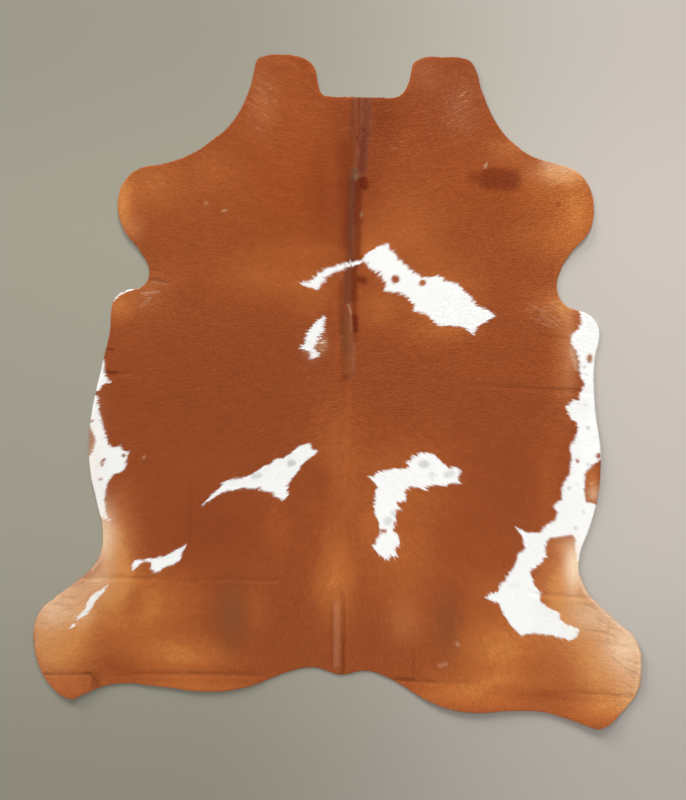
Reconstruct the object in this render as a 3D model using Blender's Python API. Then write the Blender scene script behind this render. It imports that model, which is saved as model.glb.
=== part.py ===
"""A cowhide rug: one whole hair-on hide lying on the floor, neck towards +Y, tail towards -Y.

The hide is one closed sheet, a tanned skin under a short lying coat. Its outline is a smooth closed
curve through named landmarks. The sheet rests flat on the floor, swells a little over the shoulders and
hips, curls up at its legs and tail edge, and is marked by the backbone and by the lines where it was
folded for storage. The origin is on the floor, under the middle of the hide's bounding box.
"""

import math

import bmesh
import bpy
from mathutils import Vector

MM = 0.001

# Thickness of the sheet
SKIN = 2.0 * MM
COAT = 2.6 * MM
EDGE_COAT = 1.0 * MM
EDGE_ROLL = 9.0 * MM

# Fineness of the mesh
CURVE_STEPS = 4
CELL = 50.0 * MM
SLIVER = 4.0 * MM
LARGEST_REACH = 1.15

# The outline from the neck round each side to the tail, in mm: x to the right, y towards the neck
LANDMARKS = (
    # landmark,           left x, left y, right x, right y
    ("neck edge",              22,    942,     128,     940),
    ("notch bend",            -20,    942,     175,     939),
    ("notch corner",          -48,    951,     204,     950),
    ("flap inner side",       -63,    989,     226,     984),
    ("flap inner shoulder",   -69,   1024,     236,    1024),
    ("flap inner corner",     -87,   1053,     244,    1050),
    ("flap top, inner",      -132,   1073,     282,    1067),
    ("flap top",             -185,   1076,     341,    1068),
    ("flap top, outer",      -227,   1073,     392,    1066),
    ("flap outer corner",    -254,   1061,     425,    1054),
    ("flap outer side",      -265,   1026,     444,    1021),
    ("neck side",            -282,    962,     461,     961),
    ("neck root",            -343,    852,     522,     837),
    ("shoulder slope",       -398,    805,     567,     790),
    ("shoulder",             -458,    764,     619,     753),
    ("foreleg front",        -566,    725,     706,     725),
    ("foreleg bend",         -622,    716,     756,     708),
    ("foreleg corner",       -674,    681,     796,     669),
    ("foreleg end",          -701,    602,     819,     589),
    ("foreleg rear",         -680,    517,     802,     509),
    ("armpit front",         -627,    445,     750,     449),
    ("armpit",               -601,    387,     708,     376),
    ("armpit rear",          -617,    340,     703,     317),
    ("flank front",          -673,    322,     732,     272),
    ("flank corner",         -710,    298,     794,     249),
    ("flank bend",           -722,    259,     829,     216),
    ("flank",                -726,    198,     837,     182),
    ("upper flank",          -746,    107,     822,     106),
    ("side",                 -784,    -66,     823,     -56),
    ("belly edge",           -793,   -150,     838,    -168),
    ("lower flank",          -788,   -258,     840,    -251),
    ("groin front",          -769,   -347,     828,    -354),
    ("groin",                -749,   -451,     802,    -444),
    ("groin bend",           -757,   -520,     773,    -526),
    ("hind leg front",       -793,   -573,     778,    -603),
    ("hind leg",             -896,   -656,     882,    -729),
    ("hind leg corner",      -947,   -700,     946,    -785),
    ("hind leg end, front",  -968,   -754,     966,    -826),
    ("hind leg end",         -967,   -813,     970,    -888),
    ("hind leg rear",        -948,   -887,     960,    -953),
    ("hock, outer",          -912,   -944,     908,   -1024),
    ("hock",                 -855,   -979,     840,   -1076),
    ("hock, inner",          -809,   -965,     808,   -1070),
    ("hock inner side",      -761,   -945,     738,   -1045),
    ("rump hollow",          -689,   -932,     648,   -1022),
    ("rump hollow, inner",   -558,   -943,     552,   -1020),
    ("rump lobe",            -424,   -958,     424,   -1025),
    ("rump inner side",      -304,   -947,     319,   -1001),
    ("tail dip, outer",      -129,   -887,     146,    -907),
    ("tail dip",              -75,   -881,      87,    -892),
)
TAIL_ROOT = (12, -904)

# The backbone runs from the neck to the tail: its x is middle + lean * y + bow * y * y, in metres
SPINE_MIDDLE = 0.032
SPINE_LEAN = 0.0265
SPINE_BOW = 0.0115
SPINE_RIDGE = 2.2 * MM
SPINE_GROOVE = 1.4 * MM
SPINE_RIDGE_AT = -12.0 * MM
SPINE_WIDTH = 13.0 * MM
SPINE_COLUMNS = (-42.0 * MM, -26.0 * MM, -12.0 * MM, 0.0, 14.0 * MM, 34.0 * MM)
SPINE_FADES_FROM = 0.12
SPINE_FADES_TO = -0.02
TAIL_SEAM_FROM = -0.50
TAIL_SEAM_TO = -0.66
TAIL_SEAM_SHARE = 0.6

# The lines of the old folds are nearly parallel: each drops to the right and bows downwards
FOLD_TILT = 0.040
FOLD_BOW = 0.031
FOLD_HALF_WIDTH = 9.0 * MM
FOLD_SWELL_WIDTH = 55.0 * MM
FOLD_FADE = 45.0 * MM
TAIL_FOLD = -912.0 * MM
HIP_FOLD = -606.0 * MM
BELLY_FOLD = 46.0 * MM
FOLDS = (
    # stretch,                   line,       from x, to x, depth, swell, in mm
    ("tail fold, left leg",      TAIL_FOLD,   -940,  -780,   1.6,   1.0),
    ("tail fold, left rump",     TAIL_FOLD,   -620,  -270,   1.5,   1.2),
    ("tail fold, right rump",    TAIL_FOLD,    150,   290,   1.4,   1.0),
    ("tail fold, right leg",     TAIL_FOLD,    770,   950,   1.6,   1.0),
    ("hip fold, left leg",       HIP_FOLD,    -820,  -590,   1.5,   1.2),
    ("hip fold, left hip",       HIP_FOLD,    -400,  -210,   1.3,   1.0),
    ("hip fold, right leg",      HIP_FOLD,     640,   850,   1.6,   1.4),
    ("belly fold, left flank",   BELLY_FOLD,  -750,  -680,   1.4,   0.8),
    ("belly fold, right belly",  BELLY_FOLD,   420,   800,   1.6,   1.4),
)

# The strip between the tail fold and the rear edge curls up off the floor
TAIL_CURL = 9.0 * MM
TAIL_CURL_REACH = 125.0 * MM

# Soft swells, where the skin stands a little off the floor
SWELLS = (
    # swell,                     x,     y, reach x, reach y, height, in mm
    ("left foreleg rear edge", -668,   485,     70,     110,    7.0),
    ("right foreleg rear edge", 790,   470,     75,      95,    6.0),
    ("left flap corner",       -250,  1050,     70,      70,    3.0),
    ("right flap corner",       440,  1045,     70,      70,    3.0),
    ("left shoulder",          -360,   560,    130,     110,    3.0),
    ("right shoulder",          455,   600,    130,     105,    3.0),
    ("left armpit ripple",     -520,   330,     90,      45,    3.0),
    ("right armpit ripple",     660,   265,     80,      45,    3.0),
    ("left flank edge",        -775,  -200,     45,     190,    3.0),
    ("right flank edge",        838,  -230,     50,     210,    4.0),
    ("left groin edge",        -770,  -520,     60,     100,    3.5),
    ("right groin edge",        800,  -590,     60,     100,    4.0),
    ("left hip",               -330,  -700,    120,     105,    3.5),
    ("right hip",               360,  -730,    120,     105,    3.5),
    ("left hind leg end",      -955,  -790,     70,     110,    4.5),
    ("right hind leg end",      965,  -880,     70,     120,    5.5),
    ("left hock",              -850,  -975,     80,      45,    2.0),
    ("right hock",              835, -1070,     85,      45,    3.0),
)


def clear_scene():
    for obj in list(bpy.data.objects):
        bpy.data.objects.remove(obj)


def new_collection(name):
    collection = bpy.data.collections.new(name)
    bpy.context.scene.collection.children.link(collection)
    return collection


def hide_material():
    """Cognac brown hair, the colour that covers most of the hide."""
    material = bpy.data.materials.new("cognac_hair_on_hide")
    material.use_nodes = True
    shader = material.node_tree.nodes["Principled BSDF"]
    shader.inputs["Base Color"].default_value = (0.342, 0.084, 0.021, 1.0)
    shader.inputs["Roughness"].default_value = 0.6
    shader.inputs["Metallic"].default_value = 0.0
    material.diffuse_color = (0.342, 0.084, 0.021, 1.0)
    return material


def smooth_step(start, end, value):
    """0 at start and before it, 1 at end and past it, with an even slope between."""
    share = min(max((value - start) / (end - start), 0.0), 1.0)
    return share * share * (3.0 - 2.0 * share)


def bump(distance, width):
    return math.exp(-((distance / width) ** 2))


def spine_x(y):
    return SPINE_MIDDLE + SPINE_LEAN * y + SPINE_BOW * y * y


def fold_drop(x):
    """How far below its own line at x = 0 any fold line lies."""
    return FOLD_TILT * x + FOLD_BOW * x * x


def fold_share(x, from_x, to_x):
    """1 along a fold's stretch, and fading to 0 past its ends."""
    start = from_x * MM
    end = to_x * MM
    return smooth_step(start - FOLD_FADE, start, x) * smooth_step(-end - FOLD_FADE, -end, -x)


def skin_lift(x, y):
    """Height of the underside over the floor."""
    past_tail_fold = TAIL_FOLD - (y + fold_drop(x))
    lift = TAIL_CURL * smooth_step(0.0, TAIL_CURL_REACH, past_tail_fold)
    for _, at_x, at_y, reach_x, reach_y, height in SWELLS:
        along_x = (x - at_x * MM) / (reach_x * MM)
        along_y = (y - at_y * MM) / (reach_y * MM)
        lift += height * MM * math.exp(-along_x * along_x - along_y * along_y)
    for _, line, from_x, to_x, _, swell in FOLDS:
        lift += swell * MM * fold_share(x, from_x, to_x) * bump(y + fold_drop(x) - line, FOLD_SWELL_WIDTH)
    return lift


def spine_share(y):
    """1 on the neck and shoulders, almost nothing on the belly, and some again at the tail."""
    front = smooth_step(SPINE_FADES_TO, SPINE_FADES_FROM, y)
    rear = TAIL_SEAM_SHARE * smooth_step(-TAIL_SEAM_FROM, -TAIL_SEAM_TO, -y)
    return max(front, rear)


def coat_height(x, y):
    """Thickness of the lying hair: combed up in a ridge beside the backbone, parted along each fold."""
    across = x - spine_x(y)
    ridge = SPINE_RIDGE * bump(across - SPINE_RIDGE_AT, SPINE_WIDTH)
    groove = SPINE_GROOVE * max(0.0, 1.0 - abs(across) / SPINE_WIDTH)
    height = COAT + spine_share(y) * (ridge - groove)
    for _, line, from_x, to_x, depth, _ in FOLDS:
        away = abs(y + fold_drop(x) - line)
        parting = max(0.0, 1.0 - away / FOLD_HALF_WIDTH)
        height -= depth * MM * fold_share(x, from_x, to_x) * parting
    return height


def outline_curve(collection):
    """The knife cut round the hide: one closed Bezier spline through the landmarks."""
    down_the_left = [(left_x, left_y) for _, left_x, left_y, _, _ in LANDMARKS]
    up_the_right = [(right_x, right_y) for _, _, _, right_x, right_y in reversed(LANDMARKS)]
    points = down_the_left + [TAIL_ROOT] + up_the_right
    data = bpy.data.curves.new("hide_outline", "CURVE")
    data.dimensions = "2D"
    data.fill_mode = "NONE"
    data.resolution_u = CURVE_STEPS
    spline = data.splines.new("BEZIER")
    spline.bezier_points.add(len(points) - 1)
    for knot, (x, y) in zip(spline.bezier_points, points):
        knot.co = (x * MM, y * MM, 0.0)
        knot.handle_left_type = "AUTO"
        knot.handle_right_type = "AUTO"
    spline.use_cyclic_u = True
    curve = bpy.data.objects.new("hide_outline", data)
    collection.objects.link(curve)
    return curve


def outline_points(curve):
    """The curve's points in order, moved so that the middle of their box is at x = 0, y = 0."""
    bpy.context.view_layer.update()
    graph = bpy.context.evaluated_depsgraph_get()
    mesh = bpy.data.meshes.new_from_object(curve.evaluated_get(graph))
    points = [vertex.co.to_2d() for vertex in mesh.vertices]
    bpy.data.meshes.remove(mesh)
    bpy.data.objects.remove(curve)
    middle_x = (min(p.x for p in points) + max(p.x for p in points)) / 2
    middle_y = (min(p.y for p in points) + max(p.y for p in points)) / 2
    return [(p.x - middle_x, p.y - middle_y) for p in points]


def even_places(keep_clear_of):
    """Cuts a cell apart over the whole hide, but none close beside the given places."""
    steps = math.ceil(LARGEST_REACH / CELL)
    places = [step * CELL for step in range(-steps, steps + 1)]
    return [p for p in places if all(abs(p - clear) > CELL / 2 for clear in keep_clear_of)]


def cut_field(bm, band, normal, places):
    """Cuts the field, all but the band of faces along the edge, by one plane for each place."""
    for place in places:
        field = [face for face in bm.faces if face not in band]
        edges = {edge for face in field for edge in face.edges}
        corners = {vertex for face in field for vertex in face.verts}
        geometry = field + list(edges) + list(corners)
        bmesh.ops.bisect_plane(bm, geom=geometry, plane_co=normal * place, plane_no=normal)


def cut_rows(bm, band):
    """Rows of cells that run along the folds: the folds are straightened, cut and bent back."""
    fold_rows = [
        line + side * FOLD_HALF_WIDTH
        for line in (TAIL_FOLD, HIP_FOLD, BELLY_FOLD)
        for side in (-1, 0, 1)
    ]
    for vertex in bm.verts:
        vertex.co.y += fold_drop(vertex.co.x)
    cut_field(bm, band, Vector((0.0, 1.0, 0.0)), fold_rows + even_places(fold_rows))
    for vertex in bm.verts:
        vertex.co.y -= fold_drop(vertex.co.x)


def cut_columns(bm, band):
    """Columns of cells that run along the backbone: it is straightened, cut and bent back."""
    for vertex in bm.verts:
        vertex.co.x -= spine_x(vertex.co.y)
    cut_field(bm, band, Vector((1.0, 0.0, 0.0)), list(SPINE_COLUMNS) + even_places(SPINE_COLUMNS))
    for vertex in bm.verts:
        vertex.co.x += spine_x(vertex.co.y)


def flat_hide(points):
    """The hide as one layer of triangles at z = 0: a field of cells, and a narrow band along the edge."""
    bm = bmesh.new()
    rim = [bm.verts.new((x, y, 0.0)) for x, y in points]
    field = bm.faces.new(rim)
    field.normal_update()
    if field.normal.z < 0:
        field.normal_flip()
    inset = bmesh.ops.inset_region(
        bm, faces=[field], thickness=EDGE_ROLL, use_boundary=True, use_even_offset=True
    )
    band = set(inset["faces"])
    cut_rows(bm, band)
    cut_columns(bm, band)
    inner = [vertex for vertex in bm.verts if not vertex.is_boundary]
    bmesh.ops.remove_doubles(bm, verts=inner, dist=SLIVER)
    bmesh.ops.triangulate(bm, faces=bm.faces[:])
    return bm


def give_thickness(bm):
    """Copies the layer upwards for the hair side, closes the rim, and shapes both sides."""
    rim = {vertex for edge in bm.edges if edge.is_boundary for vertex in edge.verts}
    rim_places = {vertex.co.to_2d().freeze() for vertex in rim}
    underside = bm.verts[:]
    made = bmesh.ops.extrude_face_region(bm, geom=bm.faces[:], use_keep_orig=True)
    hair_side = [piece for piece in made["geom"] if isinstance(piece, bmesh.types.BMVert)]
    for vertex in underside:
        vertex.co.z = skin_lift(vertex.co.x, vertex.co.y)
    for vertex in hair_side:
        at_rim = vertex.co.to_2d().freeze() in rim_places
        coat = EDGE_COAT if at_rim else coat_height(vertex.co.x, vertex.co.y)
        vertex.co.z = skin_lift(vertex.co.x, vertex.co.y) + SKIN + coat
    bmesh.ops.recalc_face_normals(bm, faces=bm.faces[:])


def make_hide(collection):
    bm = flat_hide(outline_points(outline_curve(collection)))
    give_thickness(bm)
    mesh = bpy.data.meshes.new("hide")
    bm.to_mesh(mesh)
    bm.free()
    mesh.materials.append(hide_material())
    mesh.shade_smooth()
    mesh.set_sharp_from_angle(angle=math.radians(40))
    collection.objects.link(bpy.data.objects.new("hide", mesh))


clear_scene()
make_hide(new_collection("cowhide_rug"))
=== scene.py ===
# %% [markdown]
# # A cowhide rug, flat on a floor
#
# The real rug is one whole hide, tanned with its hair on, and cut round its edge with a knife. It has
# three visible things: a coat of short lying hair, a suede flesh side underneath, and a thin cut edge
# between them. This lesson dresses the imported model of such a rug. The hide becomes one closed sheet
# with the same outline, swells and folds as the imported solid, only finer. Its coat is then laid as
# many small locks of hair by Geometry Nodes.

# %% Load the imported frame
import math

import bpy
import numpy as np
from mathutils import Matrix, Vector, noise
from mathutils.geometry import delaunay_2d_cdt
from mathutils.kdtree import KDTree


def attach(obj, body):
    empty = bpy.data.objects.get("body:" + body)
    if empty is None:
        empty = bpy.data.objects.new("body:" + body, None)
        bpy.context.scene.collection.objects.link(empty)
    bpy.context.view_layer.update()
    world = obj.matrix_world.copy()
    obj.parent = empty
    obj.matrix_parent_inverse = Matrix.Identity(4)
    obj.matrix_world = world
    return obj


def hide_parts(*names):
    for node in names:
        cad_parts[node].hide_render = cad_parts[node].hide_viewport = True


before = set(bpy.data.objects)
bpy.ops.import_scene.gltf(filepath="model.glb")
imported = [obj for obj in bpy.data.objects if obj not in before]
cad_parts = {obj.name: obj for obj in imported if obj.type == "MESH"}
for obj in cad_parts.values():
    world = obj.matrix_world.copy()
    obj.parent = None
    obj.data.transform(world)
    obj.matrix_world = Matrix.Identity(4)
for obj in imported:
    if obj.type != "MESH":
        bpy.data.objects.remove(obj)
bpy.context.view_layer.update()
MM = 0.001

# %% [markdown]
# ## The knife cut
#
# The outline is a smooth closed curve through named landmarks, from the neck down both sides to the
# tail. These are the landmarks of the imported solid. They follow the photograph's edge, as a separate
# script measured it beside an earlier outline. A Bezier curve object with automatic handles draws the
# same line at any fineness, so here it is sampled every few millimetres.

# %% The landmarks of the outline
LANDMARKS = (
    # landmark,           left x, left y, right x, right y
    ("neck edge",              22,    942,     128,     940),
    ("notch bend",            -20,    942,     175,     939),
    ("notch corner",          -48,    951,     204,     950),
    ("flap inner side",       -63,    989,     226,     984),
    ("flap inner shoulder",   -69,   1024,     236,    1024),
    ("flap inner corner",     -87,   1053,     244,    1050),
    ("flap top, inner",      -132,   1073,     282,    1067),
    ("flap top",             -185,   1076,     341,    1068),
    ("flap top, outer",      -227,   1073,     392,    1066),
    ("flap outer corner",    -254,   1061,     425,    1054),
    ("flap outer side",      -265,   1026,     444,    1021),
    ("neck side",            -282,    962,     461,     961),
    ("neck root",            -343,    852,     522,     837),
    ("shoulder slope",       -398,    805,     567,     790),
    ("shoulder",             -458,    764,     619,     753),
    ("foreleg front",        -566,    725,     706,     725),
    ("foreleg bend",         -622,    716,     756,     708),
    ("foreleg corner",       -674,    681,     796,     669),
    ("foreleg end",          -701,    602,     819,     589),
    ("foreleg rear",         -680,    517,     802,     509),
    ("armpit front",         -627,    445,     750,     449),
    ("armpit",               -601,    387,     708,     376),
    ("armpit rear",          -617,    340,     703,     317),
    ("flank front",          -673,    322,     732,     272),
    ("flank corner",         -710,    298,     794,     249),
    ("flank bend",           -722,    259,     829,     216),
    ("flank",                -726,    198,     837,     182),
    ("upper flank",          -746,    107,     822,     106),
    ("side",                 -784,    -66,     823,     -56),
    ("belly edge",           -793,   -150,     838,    -168),
    ("lower flank",          -788,   -258,     840,    -251),
    ("groin front",          -769,   -347,     828,    -354),
    ("groin",                -749,   -451,     802,    -444),
    ("groin bend",           -757,   -520,     773,    -526),
    ("hind leg front",       -793,   -573,     778,    -603),
    ("hind leg",             -896,   -656,     882,    -729),
    ("hind leg corner",      -947,   -700,     946,    -785),
    ("hind leg end, front",  -968,   -754,     966,    -826),
    ("hind leg end",         -967,   -813,     970,    -888),
    ("hind leg rear",        -948,   -887,     960,    -953),
    ("hock, outer",          -912,   -944,     908,   -1024),
    ("hock",                 -855,   -979,     840,   -1076),
    ("hock, inner",          -809,   -965,     808,   -1070),
    ("hock inner side",      -761,   -945,     738,   -1045),
    ("rump hollow",          -689,   -932,     648,   -1022),
    ("rump hollow, inner",   -558,   -943,     552,   -1020),
    ("rump lobe",            -424,   -958,     424,   -1025),
    ("rump inner side",      -304,   -947,     319,   -1001),
    ("tail dip, outer",      -129,   -887,     146,    -907),
    ("tail dip",              -75,   -881,      87,    -892),
)
TAIL_ROOT = (12, -904)


# %% Two helpers for objects
def new_object(name, data):
    thing = bpy.data.objects.new(name, data)
    bpy.context.scene.collection.objects.link(thing)
    return thing


def evaluated_mesh(thing):
    """The mesh that an object has once its curve is drawn, or its modifiers have run."""
    bpy.context.view_layer.update()
    graph = bpy.context.evaluated_depsgraph_get()
    return bpy.data.meshes.new_from_object(thing.evaluated_get(graph))


# %% Sample the outline evenly
EDGE_STEP = 5.0 * MM
CURVE_STEPS = 40


def draw_outline():
    """The closed Bezier curve through the landmarks, as points in order against the clock."""
    down_the_left = [(left_x, left_y) for _, left_x, left_y, _, _ in LANDMARKS]
    up_the_right = [(right_x, right_y) for _, _, _, right_x, right_y in reversed(LANDMARKS)]
    places = down_the_left + [TAIL_ROOT] + up_the_right
    data = bpy.data.curves.new("knife_cut", "CURVE")
    data.dimensions = "2D"
    data.fill_mode = "NONE"
    data.resolution_u = CURVE_STEPS
    spline = data.splines.new("BEZIER")
    spline.bezier_points.add(len(places) - 1)
    for knot, (x, y) in zip(spline.bezier_points, places):
        knot.co = (x * MM, y * MM, 0.0)
        knot.handle_left_type = knot.handle_right_type = "AUTO"
    spline.use_cyclic_u = True
    curve = new_object("knife_cut", data)
    mesh = evaluated_mesh(curve)
    line = np.array([vertex.co[:2] for vertex in mesh.vertices])
    bpy.data.objects.remove(curve)
    bpy.data.meshes.remove(mesh)
    return line - (line.min(0) + line.max(0)) / 2


def spaced_evenly(line, step):
    """Points on a closed line, about one step apart."""
    closed = np.vstack([line, line[:1]])
    lengths = np.hypot(*np.diff(closed, axis=0).T)
    along = np.concatenate([[0.0], np.cumsum(lengths)])
    places = np.linspace(0.0, along[-1], round(along[-1] / step), endpoint=False)
    return np.stack([np.interp(places, along, closed[:, axis]) for axis in (0, 1)], axis=1)


edge = spaced_evenly(draw_outline(), EDGE_STEP)
edge_along = np.roll(edge, -1, axis=0) - np.roll(edge, 1, axis=0)
edge_along /= np.linalg.norm(edge_along, axis=1, keepdims=True)
edge_inward = np.stack([-edge_along[:, 1], edge_along[:, 0]], axis=1)
print("The cut edge:", len(edge), "points,", round(len(edge) * EDGE_STEP, 2), "m round")

# %% [markdown]
# ## How far from the edge
#
# Three later steps need to know how deep inside the hide a point lies: the mesh, the roll of the coat
# over the edge, and the length of the hair beside it. A KD tree finds the nearest point of the edge
# quickly, and the inward direction there tells inside from outside.

# %% Read the depth inside the edge
edge_tree = KDTree(len(edge))
for index, (x, y) in enumerate(edge):
    edge_tree.insert((x, y, 0.0), index)
edge_tree.balance()


def depth_inside(points):
    """Distance from the edge, positive inside, and the inward direction at the nearest edge point."""
    nearest = np.array([edge_tree.find((x, y, 0.0))[1] for x, y in points])
    away = points - edge[nearest]
    inward = edge_inward[nearest]
    straight_in = (away * inward).sum(1)
    return np.where(straight_in < 0, -1.0, 1.0) * np.hypot(*away.T), inward


print("Depth at the middle of the hide:", round(float(depth_inside(np.zeros((1, 2)))[0][0]), 3), "m")

# %% [markdown]
# ## The relief
#
# A hide that was folded for storage never lies quite flat. Its skin swells over the shoulders and
# hips, its legs and rear edge curl up, and the hair stays parted along the old folds. The same short
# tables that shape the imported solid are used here, as functions of a place on the floor, so the fine
# sheet can't drift away from it.

# %% The backbone and the lines of the folds
SPINE_MIDDLE, SPINE_LEAN, SPINE_BOW = 0.032, 0.0265, 0.0115
FOLD_TILT, FOLD_BOW = 0.040, 0.031


def smooth_step(start, end, value):
    """0 at start and before it, 1 at end and past it, with an even slope between."""
    share = np.clip((value - start) / (end - start), 0.0, 1.0)
    return share * share * (3.0 - 2.0 * share)


def bump(distance, width):
    return np.exp(-((distance / width) ** 2))


def spine_x(y):
    return SPINE_MIDDLE + SPINE_LEAN * y + SPINE_BOW * y * y


def fold_drop(x):
    """How far below its own line at x = 0 any fold line lies."""
    return FOLD_TILT * x + FOLD_BOW * x * x


# %% The folds
FOLD_HALF_WIDTH = 9.0 * MM
FOLD_SWELL_WIDTH = 55.0 * MM
FOLD_FADE = 45.0 * MM
TAIL_FOLD, HIP_FOLD, BELLY_FOLD = -912.0 * MM, -606.0 * MM, 46.0 * MM
FOLDS = (
    # stretch,                   line,       from x, to x, depth, swell, in mm
    ("tail fold, left leg",      TAIL_FOLD,   -940,  -780,   1.6,   1.0),
    ("tail fold, left rump",     TAIL_FOLD,   -620,  -270,   1.5,   1.2),
    ("tail fold, right rump",    TAIL_FOLD,    150,   290,   1.4,   1.0),
    ("tail fold, right leg",     TAIL_FOLD,    770,   950,   1.6,   1.0),
    ("hip fold, left leg",       HIP_FOLD,    -820,  -590,   1.5,   1.2),
    ("hip fold, left hip",       HIP_FOLD,    -400,  -210,   1.3,   1.0),
    ("hip fold, right leg",      HIP_FOLD,     640,   850,   1.6,   1.4),
    ("belly fold, left flank",   BELLY_FOLD,  -750,  -680,   1.4,   0.8),
    ("belly fold, right belly",  BELLY_FOLD,   420,   800,   1.6,   1.4),
)


def fold_share(x, from_x, to_x):
    """1 along a fold's stretch, and fading to 0 past its ends."""
    start, end = from_x * MM, to_x * MM
    return smooth_step(start - FOLD_FADE, start, x) * smooth_step(-end - FOLD_FADE, -end, -x)


# %% The swells and the curl of the rear edge
TAIL_CURL = 9.0 * MM
TAIL_CURL_REACH = 125.0 * MM
SWELLS = (
    # swell,                     x,     y, reach x, reach y, height, in mm
    ("left foreleg rear edge", -668,   485,     70,     110,    7.0),
    ("right foreleg rear edge", 790,   470,     75,      95,    6.0),
    ("left flap corner",       -250,  1050,     70,      70,    3.0),
    ("right flap corner",       440,  1045,     70,      70,    3.0),
    ("left shoulder",          -360,   560,    130,     110,    3.0),
    ("right shoulder",          455,   600,    130,     105,    3.0),
    ("left armpit ripple",     -520,   330,     90,      45,    3.0),
    ("right armpit ripple",     660,   265,     80,      45,    3.0),
    ("left flank edge",        -775,  -200,     45,     190,    3.0),
    ("right flank edge",        838,  -230,     50,     210,    4.0),
    ("left groin edge",        -770,  -520,     60,     100,    3.5),
    ("right groin edge",        800,  -590,     60,     100,    4.0),
    ("left hip",               -330,  -700,    120,     105,    3.5),
    ("right hip",               360,  -730,    120,     105,    3.5),
    ("left hind leg end",      -955,  -790,     70,     110,    4.5),
    ("right hind leg end",      965,  -880,     70,     120,    5.5),
    ("left hock",              -850,  -975,     80,      45,    2.0),
    ("right hock",              835, -1070,     85,      45,    3.0),
)


def skin_lift(x, y):
    """Height of the underside over the floor."""
    lift = TAIL_CURL * smooth_step(0.0, TAIL_CURL_REACH, TAIL_FOLD - (y + fold_drop(x)))
    for _, at_x, at_y, reach_x, reach_y, height in SWELLS:
        height_here = height * MM * bump(x - at_x * MM, reach_x * MM)
        lift = lift + height_here * bump(y - at_y * MM, reach_y * MM)
    for _, line, from_x, to_x, _, swell in FOLDS:
        near = bump(y + fold_drop(x) - line, FOLD_SWELL_WIDTH)
        lift = lift + swell * MM * fold_share(x, from_x, to_x) * near
    return lift


# %% The height of the coat
SKIN = 2.0 * MM
COAT = 2.6 * MM
EDGE_COAT = 0.7 * MM
EDGE_ROLL = 9.0 * MM
SPINE_RIDGE, SPINE_RIDGE_AT = 2.2 * MM, -12.0 * MM
SPINE_GROOVE = 1.4 * MM
SPINE_WIDTH = 13.0 * MM
SPINE_FADES_FROM, SPINE_FADES_TO = 0.12, -0.02
TAIL_SEAM_FROM, TAIL_SEAM_TO, TAIL_SEAM_SHARE = -0.50, -0.66, 0.6


def spine_share(y):
    """1 on the neck and shoulders, almost nothing on the belly, and some again at the tail."""
    front = smooth_step(SPINE_FADES_TO, SPINE_FADES_FROM, y)
    rear = TAIL_SEAM_SHARE * smooth_step(-TAIL_SEAM_FROM, -TAIL_SEAM_TO, -y)
    return np.maximum(front, rear)


def coat_height(x, y):
    """Thickness of the lying hair: combed up beside the backbone, parted along each fold."""
    across = x - spine_x(y)
    ridge = SPINE_RIDGE * bump(across - SPINE_RIDGE_AT, SPINE_WIDTH)
    groove = SPINE_GROOVE * np.maximum(0.0, 1.0 - np.abs(across) / SPINE_WIDTH)
    height = COAT + spine_share(y) * (ridge - groove)
    for _, line, from_x, to_x, depth, _ in FOLDS:
        parting = np.maximum(0.0, 1.0 - np.abs(y + fold_drop(x) - line) / FOLD_HALF_WIDTH)
        height = height - depth * MM * fold_share(x, from_x, to_x) * parting
    return height


print("Coat on the plain back:", round(float(coat_height(0.4, 0.3)) / MM, 2), "mm")

# %% [markdown]
# ## Small creases
#
# Besides the folds, a hide has small wrinkles where the leg joints and armpits were. They are placed
# one by one. Each is a shallow arc from one place on the photograph to another, with a real sag, width
# and depth. A negative depth is a ridge. At each end a crease starts a little before its place and is
# full a little past it, both as shares of its length. The photograph is taken from straight above, so
# one scale turns its places into metres.

# %% From the photograph to the floor
PHOTO_SCALE = 3.2 * MM
PHOTO_MIDDLE = (337.5, 391.6)


def on_floor(photo_x, photo_y):
    return np.array([photo_x - PHOTO_MIDDLE[0], PHOTO_MIDDLE[1] - photo_y]) * PHOTO_SCALE


def near_place(points, photo_x, photo_y, reach_x, reach_y):
    """1 at a place on the photograph, fading out around it, with its reach in the photo's pixels."""
    away_x, away_y = (points - on_floor(photo_x, photo_y)).T
    return bump(away_x, reach_x * PHOTO_SCALE) * bump(away_y, reach_y * PHOTO_SCALE)


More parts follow.
